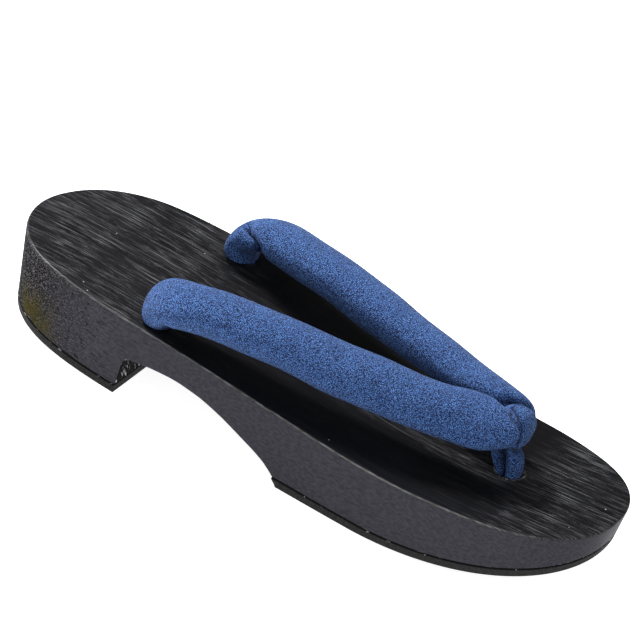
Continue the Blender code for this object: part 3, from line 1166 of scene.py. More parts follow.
@dataclass
class PlanLoft:
    """A closed solid of the shoe's plan outline, between an upper and a lower side line.

    At each station from the toe to the heel its half section runs out along the upper face,
    round the upper edge, down the wall, round the lower edge and back along the lower face.
    """

    lines: ShoeLines
    upper: WallLine
    lower: WallLine
    upper_round: float
    lower_round: float
    lower_inward: np.ndarray
    cap_steps: int = 22
    edge_steps: int = 5
    wall_steps: int = 14
    closed_tips: tuple[bool, bool] = (True, True)
    deck_fade: Ramp = (0.6, 1.0)
    end_turn: Ramp = (0.08, 0.6)
    end_place: Ramp = (50 * MM, 95 * MM)

    @property
    def tips(self) -> list[tuple[int, int]]:
        """The closed tips: each one's station, and the way the outline runs there."""
        both = ((0, 1), (-1, -1))
        return [tip for tip, closed in zip(both, self.closed_tips) if closed]

    def plan_tangent(self) -> np.ndarray:
        """Direction of the plan outline at each station, from the toe tip to the heel tip.

        Returns:
            One unit vector for each station, across and along the shoe.
        """
        across = self.lines.half_width(self.upper.along)
        for station, _ in self.tips:
            across[station] = 0.0
        tangent = unit(np.column_stack((np.gradient(across), np.gradient(self.upper.along))))
        for station, way in self.tips:
            tangent[station] = (way, 0)
        return tangent

    def rounded(
        self, corner: np.ndarray, shoulder: np.ndarray, radius: float, tangent: np.ndarray
    ) -> np.ndarray:
        """Quarter circle from the shoulder on the wall to the corner moved in by the radius.

        A point at angle a is the corner plus (1 - sin a) of the way back to the shoulder, moved
        inward across the plan by radius * (1 - cos a).

        Args:
            corner: the sharp corner at each station.
            shoulder: where the round meets the wall at each station.
            radius: the radius of the round.
            tangent: the plan outline's direction at each station.

        Returns:
            The points as stations by steps by 3, from the shoulder on.
        """
        angle = np.linspace(0, math.pi / 2, self.edge_steps + 1)[None, :, None]
        rows = corner[:, None, :] + (1 - np.sin(angle)) * (shoulder - corner)[:, None, :]
        rows[..., 0] = shoulder[:, None, 0]
        inset = radius * (1 - np.cos(angle[..., 0]))
        rows[..., 0] -= inset * tangent[:, 1:2]
        rows[..., 1] += inset * tangent[:, 0:1]
        return rows

    def half_sections(self, tangent: np.ndarray) -> np.ndarray:
        """Half sections from the middle of the upper face to the middle of the lower face.

        Args:
            tangent: the plan outline's direction at each station.

        Returns:
            The points as stations by columns by 3.
        """
        lines = self.lines
        low = self.upper.height - self.upper_round
        top = lines.wall(self.upper.along, self.upper.height)
        shoulder = lines.wall(self.upper.along, low)
        bottom = lines.wall(self.lower.along, self.lower.height)
        inner = bottom[:, 1:] + self.lower_round * self.lower_inward
        upright = self.lower_inward[:, 1] > 1 - 1e-9
        leaned = lines.unlean(inner[:, 0], inner[:, 1])
        foot_along = np.where(upright, self.lower.along, leaned)
        share = np.linspace(0, 1, self.wall_steps + 1)[None, 1:-1]
        along = self.upper.along[:, None] * (1 - share) + foot_along[:, None] * share
        height = low[:, None] * (1 - share) + inner[:, 1:2] * share
        wall = lines.wall(along, height)
        foot = lines.wall(foot_along, inner[:, 1])
        upper_edge = self.rounded(top, shoulder, self.upper_round, tangent)[:, ::-1]
        lower_edge = self.rounded(bottom, foot, self.lower_round, tangent)
        out = np.linspace(0, 1, self.cap_steps + 1)[None, :-1, None]
        upper_face = upper_edge[:, :1] * np.ones_like(out)
        upper_face[..., 0] *= out[..., 0]
        lower_face = lower_edge[:, -1:] * np.ones_like(out)
        lower_face[..., 0] *= out[..., 0]
        parts = (upper_face, upper_edge, wall, lower_edge, lower_face[:, ::-1])
        sections = np.concatenate(parts, axis=1)
        for station, _ in self.tips:
            sections[station, :, 0] = 0.0
        return sections

    def section_marks(self, tangent: np.ndarray, columns: int) -> dict[str, np.ndarray]:
        """The marks that the finishes read, each from 0 to 1.

        Args:
            tangent: the plan outline's direction at each station.
            columns: how many points a half section has.

        Returns:
            How near each point of the half sections is to the upper edge, how far it lies on the
            deck, and how far on the end grain of the walls, under the marks' names.
        """
        first = self.cap_steps
        last = first + self.edge_steps
        round_share = np.linspace(0, 1, self.edge_steps + 1)
        edge, deck, end = np.zeros((3, len(tangent), columns))
        edge[:, first : last + 1] = np.sin(round_share * math.pi) ** 3
        deck[:, : first + 1] = 1.0
        deck[:, first : last + 1] = 1 - smooth_step(*self.deck_fade, round_share)
        turned = smooth_step(*self.end_turn, np.abs(tangent[:, :1]))
        tip = turned * (self.upper.along > 0)[:, None]
        heel = smooth_step(*self.end_place, self.upper.along)[:, None]
        end[:, last:] = 0.5 * heel + 0.5 * tip
        return {"edge": edge, "deck": deck, "end": end}

    def mesh_data(self) -> tuple[np.ndarray, list[list[int]], dict[str, np.ndarray]]:
        """The whole solid, its left half the mirror of its right.

        Returns:
            Its points, its faces and its points' marks.
        """
        tangent = self.plan_tangent()
        half = self.half_sections(tangent)
        left = half[:, -2:0:-1] * (-1, 1, 1)
        rings = np.concatenate((half, left), axis=1)
        marks = {
            name: np.concatenate((mark, mark[:, -2:0:-1]), axis=1)
            for name, mark in self.section_marks(tangent, half.shape[1]).items()
        }
        open_tips = tuple(not closed for closed in self.closed_tips)
        return rings, tube_faces(*rings.shape[:2], open_tips), marks


# ---- the wooden base


@dataclass(frozen=True)
class Hole:
    """A round hole down from the deck with a wider plain recess for its knot."""

    x: float
    place: float
    radius: float
    recess_place: float
    recess_radius: float
    recess_top: float


@dataclass
class WoodenBase:
    """One carved block: the deck with its rounded edge, the heel block, the arch and the holes."""

    lines: ShoeLines
    edge_round: float = 1.0 * MM
    foot_round: float = 0.5 * MM
    rim_round: float = 0.4 * MM
    round_steps: int = 5
    toe_stations: int = 150
    arch_stations: int = 64
    corner_stations: int = 8
    face_stations: int = 7
    heel_stations: int = 90
    spread_step: float = 0.5 * MM
    spread_reach: float = 16.0
    lathe_sides: int = 72
    cutter_end: float = 2 * MM
    cutter_rise: float = 4 * MM
    sloped_above: float = 26 * MM
    rim_above: float = 29 * MM
    wave: float = 0.12 * MM
    sawn_down: float = -0.5
    sawn_front: float = -0.7
    holes: tuple[Hole, ...] = (
        Hole(0.0, -86.6 * MM, 5.5 * MM, -86.6 * MM, 10 * MM, 16.5 * MM),
        Hole(-36.2 * MM, 57.6 * MM, 4.6 * MM, 55.8 * MM, 7.1 * MM, 24 * MM),
        Hole(36.2 * MM, 57.6 * MM, 4.6 * MM, 55.8 * MM, 7.1 * MM, 24 * MM),
    )

    def cut_line(self, foot: float) -> tuple[np.ndarray, np.ndarray]:
        """The cut under the shoe, seen from the side.

        It runs up the arch, round the corner, down the heel's front face and round its foot.

        Args:
            foot: the height of the heel's underside.

        Returns:
            The places and the heights of its stations.
        """
        lines = self.lines
        knots = np.array(lines.arch_line) * MM
        arch = np.linspace(lines.arch_end, knots[0, 0], self.arch_stations + 1)[1:]
        turn = np.linspace(math.pi / 2, 0, self.corner_stations + 1)[1:]
        corner = lines.heel_front - lines.heel_corner * (1 - np.cos(turn))
        corner_height = knots[0, 1] - lines.heel_corner * (1 - np.sin(turn))
        foot_top = foot + lines.heel_foot_round
        face_height = np.linspace(corner_height[-1], foot_top, self.face_stations + 1)[1:]
        face = np.full(self.face_stations, lines.heel_front)
        turn = np.linspace(0, math.pi / 2, self.round_steps + 1)[1:]
        nose = lines.heel_front + lines.heel_foot_round * (1 - np.cos(turn))
        nose_height = foot + lines.heel_foot_round * (1 - np.sin(turn))
        places = np.concatenate((arch, corner, face, nose))
        return places, np.concatenate((eased(knots, arch), corner_height, face_height, nose_height))

    def underside(self) -> tuple[WallLine, np.ndarray]:
        """The base's lower side line: under the toe spring, along the cut and along the heel.

        Returns:
            The line and, at each station, the direction up into the wood.
        """
        lines = self.lines
        foot = lines.rubber_thick + lines.touch_gap
        share = np.linspace(0, 1, self.toe_stations) ** lines.tip_power
        toe_along = -lines.half_length + (lines.arch_end + lines.half_length) * share
        toe = lines.wall_line(toe_along, lines.wood_above_spring)
        seen, height = self.cut_line(foot)
        cut = lines.unlean(seen, height)
        share = np.linspace(1, 0, self.heel_stations + 1)[1:] ** lines.tip_power
        heel = lines.half_length + (cut[-1] - lines.half_length) * share
        line = WallLine(
            np.concatenate((toe.along, cut, heel)),
            np.concatenate((toe.height, height, np.full(self.heel_stations, foot))),
        )
        direction = unit(np.column_stack((np.gradient(seen), np.gradient(height))))
        inward = np.tile((0.0, 1.0), (len(line.along), 1))
        inward[self.toe_stations : -self.heel_stations] = direction[:, ::-1] * (-1, 1)
        return line, inward

    def deck_line(self, lower: WallLine) -> WallLine:
        """The deck's side line, spread out where the heel's face is upright.

        Args:
            lower: the lower side line, whose places it takes.

        Returns:
            The deck's line, station by station.
        """
        length = along_length(np.column_stack((lower.along, lower.height)))
        even = np.append(np.arange(0, length[-1], self.spread_step), length[-1])
        spread = blurred(np.interp(even, length, lower.along), self.spread_reach)
        along = np.interp(length, even, spread)
        along[0] = -self.lines.half_length
        along[-1] = self.lines.half_length
        return WallLine(along, self.lines.deck(along))

    def carved(self, rings: np.ndarray) -> np.ndarray:
        """Slight waves of handwork: sums of sines over the deck and along the walls.

        Args:
            rings: the block's points.

        Returns:
            The points, moved up or down on the deck and in or out on the walls.
        """
        x, y, z = np.moveaxis(rings, -1, 0)
        deck = smooth_step(24 * MM, 30 * MM, z) * np.clip(1 - np.abs(x) / (46 * MM), 0, 1)
        ripple = np.sin(x * 330 + 1.7 * np.sin(y * 41)) + 0.7 * np.sin(y * 57 + x * 90 + 0.6)
        wall = np.sin(y * 83 + z * 120) + 0.6 * np.sin(y * 191 + 1.1)
        wall = wall + 0.5 * np.sin(z * 310 + y * 60)
        side = smooth_step(8 * MM, 30 * MM, np.abs(x)) * np.sign(x)
        moved = rings.copy()
        moved[..., 2] += self.wave * 0.5 * ripple * deck
        moved[..., 0] += self.wave * 0.45 * wall * side
        return moved

    def lathe(
        self, name: str, axis: tuple[float, float], profile: list, slope: float = 0.0
    ) -> Piece:
        """A turned cutter: a profile of radius and height carried round an upright axis.

        Args:
            name: the cutter's name.
            axis: the axis's place across and along the shoe.
            profile: radius and height of each ring, from the foot up.
            slope: the deck's slope, which the upper rings follow.

        Returns:
            The cutter, its rim marked as an edge.
        """
        x, y = axis
        turn = np.arange(self.lathe_sides) * 2 * math.pi / self.lathe_sides
        radius, height = np.array(profile).T
        sloped = height[:, None] > self.sloped_above
        rings = np.zeros((len(radius), self.lathe_sides, 3))
        rings[..., 0] = x + radius[:, None] * np.cos(turn)
        rings[..., 1] = y + radius[:, None] * np.sin(turn)
        rings[..., 2] = height[:, None] + slope * (rings[..., 1] - y) * sloped
        is_rim = (height > self.rim_above) & (radius > radius.min() + 1e-6)
        marks = {"edge": np.repeat(is_rim, self.lathe_sides) * 1.0}
        return new_piece(name, rings, tube_faces(*rings.shape[:2]), marks)

    def cutters(self, number: int, hole: Hole) -> tuple[Piece, Piece]:
        """The cutters of one hole: its shaft, with a rounded rim, and its recess.

        Args:
            number: the hole's number.
            hole: its sizes.

        Returns:
            The two cutters.
        """
        deck, ahead = self.lines.deck(np.array((hole.place, hole.place - MM)))
        turn = np.linspace(0, math.pi / 2, self.round_steps + 1)
        rim = np.column_stack(
            (
                hole.radius + self.rim_round * (1 - np.cos(turn)),
                deck - self.rim_round * (1 - np.sin(turn)),
            )
        )
        low = (hole.radius, hole.recess_top - self.cutter_end)
        above = (hole.radius + self.rim_round, deck + self.cutter_rise)
        shaft = [low, *rim, above]
        recess = [
            (hole.recess_radius, -self.cutter_end),
            (hole.recess_radius, hole.recess_top),
        ]
        slope = (deck - ahead) / MM
        return (
            self.lathe(f"shaft_{number}", (hole.x, hole.place), shaft, slope),
            self.lathe(f"recess_{number}", (hole.x, hole.recess_place), recess),
        )

    def drill(self, piece: Piece) -> None:
        """Cut the strap holes and their recesses.

        Args:
            piece: the block.
        """
        cutters = []
        for number, hole in enumerate(self.holes):
            cutters.extend(self.cutters(number, hole))
        for cutter in cutters:
            step = piece.modifiers.new(cutter.name, "BOOLEAN")
            step.object = cutter
            step.operation = "DIFFERENCE"
            step.solver = "EXACT"
        finish_modifiers(piece)
        for cutter in cutters:
            discard(cutter)

    def mark_sawn(self, piece: Piece) -> None:
        """Give the cut faces, which look down or forward under the shoe, the sawn finish.

        Args:
            piece: the block, which has both finishes.
        """
        count = len(piece.data.polygons)
        centre, normal = np.zeros((2, count * 3))
        piece.data.polygons.foreach_get("center", centre)
        piece.data.polygons.foreach_get("normal", normal)
        _, y, _ = centre.reshape(-1, 3).T
        _, ahead, up = normal.reshape(-1, 3).T
        under = (up < self.sawn_down) | ((ahead < self.sawn_front) & (y > 0))
        piece.data.polygons.foreach_set("material_index", under.astype(np.int32))

    def build(self, effects: Effects) -> Piece:
        """Build and dress the base.

        Args:
            effects: the shared node groups.

        Returns:
            The finished piece.
        """
        lower, inward = self.underside()
        upper = self.deck_line(lower)
        loft = PlanLoft(self.lines, upper, lower, self.edge_round, self.foot_round, inward)
        rings, faces, marks = loft.mesh_data()
        piece = new_piece("brushed_wooden_base", self.carved(rings), faces, marks)
        self.drill(piece)
        piece.data.materials.append(BrushedWood("brushed_black_wood").material(effects))
        piece.data.materials.append(SawnWood("sawn_black_wood").material())
        self.mark_sawn(piece)
        piece.data.set_sharp_from_angle(angle=SHARP_ANGLE)
        return piece


# ---- the rubber soles


@dataclass
class RubberSole:
    """A rubber tread of the shoe's outline, glued under the forefoot or the heel."""

    lines: ShoeLines
    tread: Tread
    stations: int = 150
    upper_round: float = 0.6 * MM
    lower_round: float = 0.9 * MM
    cap_steps: int = 10
    edge_steps: int = 4
    wall_steps: int = 5

    def side_line(
        self, cut: float, height_of: Callable[[np.ndarray], np.ndarray]
    ) -> WallLine:
        """A side line of the tread between its cut end and its tip, packed towards the tip.

        Args:
            cut: the place of the cut end, before the lean.
            height_of: gives the height at a leaned place.

        Returns:
            The line.
        """
        lines = self.lines
        if self.tread is Tread.HEEL:
            start, end = cut, lines.half_length
            share = 1 - np.linspace(1, 0, self.stations) ** lines.tip_power
        else:
            start, end = -lines.half_length, cut
            share = np.linspace(0, 1, self.stations) ** lines.tip_power
        return lines.wall_line(start + (end - start) * share, height_of)

    def side_lines(self) -> tuple[WallLine, WallLine]:
        """The tread's upper and lower side lines.

        Returns:
            The line of its upper face and the line of its lower face.
        """
        lines = self.lines
        heights = np.array((lines.rubber_thick, 0.0))
        if self.tread is Tread.HEEL:
            cuts = lines.unlean(np.full(2, lines.heel_front), heights)
            faces = (lines.rubber_level, np.zeros_like)
        else:
            cuts = lines.unlean(np.array((lines.arch_end, lines.front_sole_end)), heights)
            faces = (lines.spring_top, lines.spring)
        return self.side_line(cuts[0], faces[0]), self.side_line(cuts[1], faces[1])

    def build(self) -> Piece:
        """Build and dress the tread.

        Returns:
            The finished piece.
        """
        upper, lower = self.side_lines()
        loft = PlanLoft(
            self.lines,
            upper,
            lower,
            self.upper_round,
            self.lower_round,
            np.tile((0.0, 1.0), (self.stations, 1)),
            self.cap_steps,
            self.edge_steps,
            self.wall_steps,
            closed_tips=(self.tread is Tread.FRONT, self.tread is Tread.HEEL),
        )
        piece = new_piece(self.tread.value, *loft.mesh_data())
        piece.data.materials.append(MattRubber(f"{self.tread.value}_matt").material())
        return piece


# ---- padded straps


@dataclass(frozen=True)
class Crease:
    """A soft trough along a line of points. Points, width and depth are in millimetres."""

    points: tuple[Point, ...]
    width: float
    depth: float
    spacing: float = 0.5
    smoothing: float = 1.5

    def settled(self, surface: np.ndarray) -> np.ndarray:
        """The line read finely, brought onto the surface and smoothed.

        Args:
            surface: the surface's points.

        Returns:
            The line's points, each the surface's point nearest to it before the smoothing.
        """
        line = np.array(self.points) * MM
        length = along_length(line)
        count = max(3, int(length[-1] / (self.spacing * MM)))
        dense = read_table(line, length, np.linspace(0, length[-1], count))
        own = np.sum(dense**2, axis=1)[:, None]
        square = own - 2 * dense @ surface.T + np.sum(surface**2, axis=1)
        return blurred(surface[square.argmin(axis=1)], self.smoothing)

    def bell(self, places: np.ndarray) -> np.ndarray:
        """Bell curve of each place's distance to the line, 1 on the line.

        Args:
            places: the surface's points, along the last axis.

        Returns:
            Its value at each point.
        """
        line = self.settled(places.reshape(-1, 3))
        nearest = np.full(places.shape[:-1], np.inf)
        for start, end in zip(line[:-1], line[1:]):
            run = end - start
            share = np.clip(((places - start) @ run) / (run @ run), 0.0, 1.0)
            distance = np.linalg.norm(places - start - share[..., None] * run, axis=-1)
            nearest = np.minimum(nearest, distance)
        return np.exp(-((nearest / (self.width * MM)) ** 2))

    def relief(self, places: np.ndarray) -> np.ndarray:
        """Inward move of each place: the depth times the bell curve."""
        return self.depth * MM * self.bell(places)

    def shade(self, places: np.ndarray) -> np.ndarray:
        """Share of painted shade in the trough at each place, from 0 to 1: the square of the bell
        curve.
        """
        return self.bell(places) ** 2


def both_sides(points: tuple[Point, ...], width: float, depth: float) -> tuple[Crease, ...]:
    """A crease and its mirror, from the points of the one at +X.

    Args:
        points: the line of the one at +X.
        width: how far the trough reaches on either side.
        depth: its depth on the line.

    Returns:
        The crease at -X and the crease at +X.
    """
    return tuple(
        Crease(tuple((side * x, y, z) for x, y, z in points), width, depth) for side in (-1, 1)
    )


# Side strap, the +X arm, from its knot to the V's apex. Columns, in millimetres and degrees:
# x, y, z of the middle; turn of the width in plan; pitch, 0 upright and 90 level; lean, outer
# edge down; half the width; half the thickness
STRAP_ROWS = {
    "knot foot": (36.2, 55.8, 17.5, 0, 90, 0, 2.6, 2.6),
    "knot low": (36.2, 55.8, 18.4, 0, 90, 0, 5.2, 5.2),
    "knot middle": (36.2, 55.8, 20.6, 0, 90, 0, 6.4, 6.4),
    "knot top": (36.2, 56.0, 23.0, 0, 90, 0, 5.4, 5.4),
    "hole foot": (36.2, 57.4, 23.6, 0, 90, 0, 4.0, 4.0),
    "hole mouth": (36.2, 57.6, 33.6, 0, 90, 0, 4.1, 4.1),
    "on the deck": (35.9, 58.5, 33.8, 8, 90, 0, 7.6, 6.2),
    "tail": (36.2, 59.4, 36.4, 18, 88, 2, 9.8, 6.8),
    "fold back": (36.4, 58.9, 40.0, 21, 64, 3, 12.4, 7.1),
    "fold top": (37.3, 55.4, 43.6, 21, 34, 7, 13.2, 7.4),
    "arm end": (37.5, 50.0, 46.4, 16, 8, 6, 12.7, 7.9),
    "arm rear": (34.2, 35.0, 48.4, 11, 0, 4, 12.2, 8.6),
    "arm middle": (29.4, 10.0, 49.1, 11, 0, 13, 12.3, 8.9),
    "arm ahead": (23.1, -20.0, 48.2, 13, 0, 20, 12.5, 8.7),
    "arm front": (16.1, -50.0, 48.3, 15, 0, 25, 12.4, 8.0),
    "arm nose": (12.1, -65.0, 49.6, 16, 0, 34, 12.2, 7.0),
    "bend start": (9.6, -74.9, 50.4, 26, 0, 38, 11.2, 7.2),
    "bend": (8.0, -79.1, 50.8, 44, 0, 36, 8.3, 7.0),
    "bend end": (6.0, -80.9, 50.6, 58, 0, 24, 7.2, 6.7),
    "neck side": (3.2, -81.0, 49.9, 74, 0, 10, 4.9, 5.3),
    "neck": (0.0, -80.9, 49.4, 90, 0, 0, 3.6, 4.7),
}

# The far arm's tail where it stands on the deck, in the same columns: it slopes back as it goes
# down
FAR_TAIL_ROWS = {
    "on the deck": (35.9, 59.2, 33.8, 8, 90, 0, 8.4, 5.8),
    "tail": (36.2, 60.6, 36.2, 14, 88, 2, 10.8, 5.5),
    "fold back": (36.9, 59.2, 40.4, 19, 66, 3, 11.2, 5.4),
    "fold top": (37.3, 56.3, 44.5, 21, 38, 6, 12.8, 7.2),
}

# Front thong, from the foot of its rear leg, over the neck, to the foot of its front leg.
# Columns, in millimetres and degrees: y, z of the middle; turn of the section about X, 0 where
# the thong runs up and -180 where it runs down; half the width across the shoe; half the
# thickness; how much wider the outer face is than the inner one
THONG_ROWS = {
    "rear leg foot": (-83.4, 13.5, 0, 3.4, 1.8, 0.0),
    "rear leg in the hole": (-83.5, 29.8, 10, 4.6, 1.9, 0.0),
    "rear leg": (-81.0, 33.5, 32, 4.7, 2.1, 0.0),
    "rear bend": (-76.6, 41.5, 24, 3.4, 2.3, 0.1),
    "crotch": (-74.8, 47.0, 6, 2.4, 1.9, 0.2),
    "crotch top": (-75.5, 51.4, -22, 2.8, 1.8, 0.3),
    "top rear": (-78.0, 54.8, -50, 3.6, 1.9, 0.2),
    "top": (-81.2, 56.3, -90, 5.2, 2.2, 0.15),
    "top front": (-84.8, 55.4, -132, 6.2, 2.6, 0.1),
    "front": (-87.0, 50.8, -176, 6.8, 2.8, 0.1),
    "under the apex": (-86.5, 45.6, -190, 6.2, 2.9, 0.0),
    "front leg top": (-84.6, 41.4, -180, 4.4, 2.1, 0.0),
    "front leg": (-87.4, 36.0, -163, 5.1, 3.3, 0.0),
    "front leg in the hole": (-88.7, 29.2, -170, 4.5, 3.0, 0.0),
    "front leg foot": (-88.2, 13.5, -180, 3.2, 2.5, 0.0),
}

THONG_BEDS = both_sides(
    (
        (3.4, -75.6, 54.6),
        (6.6, -80.3, 56.3),
        (8.6, -83.4, 55.8),
        (8.4, -86.6, 51.0),
        (7.9, -87.0, 47.6),
        (6.6, -86.0, 44.6),
    ),
    width=1.1,
    depth=1.7,
)
CROTCH_PITS = both_sides(((2.6, -73.5, 53.0), (3.6, -76.2, 54.8)), width=2.0, depth=1.4)
THONG_SIDES = both_sides(
    (
        (1.2, -78.3, 57.5),
        (4.5, -82.9, 57.6),
        (6.0, -85.6, 55.8),
        (6.5, -87.3, 52.5),
        (6.3, -87.6, 49.0),
        (5.6, -87.0, 46.0),
    ),
    width=0.9,
    depth=1.8,
)
THONG_PINCH = Crease(((-5.5, -87.2, 41.6), (0.0, -88.2, 41.2), (5.5, -87.2, 41.6)), 1.3, 0.9)
FOLD_LINE = (
    (30.2, 60.2, 50.8),
    (27.2, 58.2, 50.2),
    (25.3, 55.6, 48.6),
    (24.6, 52.6, 46.0),
    (26.5, 50.6, 41.5),
    (32.0, 50.5, 38.0),
)
FAR_FOLD = Crease(FOLD_LINE, width=2.6, depth=2.8)
FAR_FOLD_SHARP = Crease(FOLD_LINE, width=0.9, depth=3.2)
NEAR_FOLD = Crease(
    (
        (-25.4, 54.0, 47.0),
        (-25.2, 51.4, 45.0),
        (-26.5, 50.0, 41.5),
        (-36.0, 50.5, 37.5),
        (-46.0, 51.0, 38.0),
    ),
    width=1.6,
    depth=1.5,
)


@dataclass(frozen=True)
class FinePath:
    """Reads a table of sections finely and evenly along its path, and smooths it.

    The middle's coordinates are in the table's first columns. Nothing is smoothed up to the
    raw row, where the strap is held in its hole. Step and reach are in millimetres.
    """

    coordinates: int
    step: float
    reach: float
    raw_row: int
    between_rows: int = 60

    def read(self, rows: dict[str, tuple[float, ...]]) -> tuple[np.ndarray, np.ndarray]:
        """Read a table.

        Args:
            rows: the named sections.

        Returns:
            The fine table, in the units of the coarse one, and each fine row's number in it.
        """
        table = np.array(list(rows.values()), dtype=float)
        number = np.arange(len(table))
        dense = np.linspace(0, len(table) - 1, self.between_rows * (len(table) - 1) + 1)
        columns = [eased(np.column_stack((number, column)), dense) for column in table.T]
        dense_table = np.column_stack((*columns, dense))
        length = along_length(dense_table[:, : self.coordinates])
        even = np.linspace(0, length[-1], int(round(length[-1] / self.step)) + 1)
        fine = read_table(dense_table, length, even)
        smooth = blurred(fine, self.reach / self.step)
        share = smooth_step(self.raw_row - 0.5, self.raw_row + 1.5, fine[:, -1:])
        mixed = fine * (1 - share) + smooth * share
        return mixed[:, :-1], mixed[:, -1]


@dataclass(frozen=True)
class Puff:
    """Cloth simulation of a padded tube: pressure inside, no gravity, and a cap on the moves."""

    every_row: int = 3
    every_side: int = 4
    start_size: float = 0.97
    held_below: float = 0.02
    quality: int = 6
    mass: float = 0.3
    bending: float = 0.5
    pressure: float = 16.0
    frames: int = 20
    cap: float = 0.9 * MM

    def cloth(self, tube: np.ndarray, held: np.ndarray) -> Piece:
        """Make a coarse tube with Blender's Cloth on it.

        Args:
            tube: its points as rows by sides by 3.
            held: which rows stay where they are.

        Returns:
            The tube.
        """
        rows, sides = tube.shape[:2]
        piece = new_piece("puffed_tube", tube, tube_faces(rows, sides), {})
        pins = piece.vertex_groups.new(name="held")
        pins.add(np.flatnonzero(np.repeat(held, sides)).tolist(), 1.0, "REPLACE")
        cloth = piece.modifiers.new("puff", "CLOTH")
        cloth.settings.quality = self.quality
        cloth.settings.mass = self.mass
        cloth.settings.bending_stiffness = self.bending
        cloth.settings.use_pressure = True
        cloth.settings.uniform_pressure_force = self.pressure
        cloth.settings.vertex_group_mass = pins.name
        cloth.settings.effector_weights.gravity = 0.0
        cloth.point_cache.frame_start = 1
        cloth.point_cache.frame_end = self.frames
        return piece

    def moves(self, grid: np.ndarray, middle: np.ndarray, free: np.ndarray) -> np.ndarray:
        """Simulate a coarse copy of the tube, and carry its moves back to the fine tube.

        The copy starts a little smaller, as start size times its sections. Its moves from the fine
        tube's own points are cut to the cap, and read along straight lines between its points.

        Args:
            grid: the fine tube's points as rows by sides by 3.
            middle: the fine rows' middles.
            free: how free each fine row is, from 0 to 1.

        Returns:
            The move of each fine point.
        """
        rows = np.unique(np.append(np.arange(0, len(grid), self.every_row), len(grid) - 1))
        coarse = grid[rows][:, :: self.every_side]
        centre = middle[rows][:, None]
        start = centre + (coarse - centre) * self.start_size
        piece = self.cloth(start, free[rows] < self.held_below)
        for number in range(1, self.frames + 1):
            bpy.context.scene.frame_set(number)
        done = piece.evaluated_get(bpy.context.evaluated_depsgraph_get()).data
        places = np.zeros(coarse.size)
        done.vertices.foreach_get("co", places)
        discard(piece)
        bpy.context.scene.frame_set(1)
        move = places.reshape(coarse.shape) - coarse
        size = np.linalg.norm(move, axis=-1, keepdims=True)
        move = move * np.minimum(1.0, self.cap / np.maximum(size, 1e-9))
        round_again = np.concatenate((move, move[:, :1]), axis=1)
        by_row = read_table(round_again, rows, np.arange(len(grid)))
        by_side = by_row.transpose(1, 0, 2)
        sides = np.arange(grid.shape[1]) / self.every_side
        fine = read_table(by_side, np.arange(len(by_side)), sides)
        return fine.transpose(1, 0, 2) * free[:, None, None]


@dataclass(frozen=True)
class Hump:
    """A soft hump along a strap: the row at its middle, its reach in rows, its height in mm."""

    row: float
    reach: float
    height: float

    def at(self, number: np.ndarray) -> np.ndarray:
        """Its height at each row number, a bell curve."""
        return self.height * np.exp(-(((number - self.row) / self.reach) ** 2))


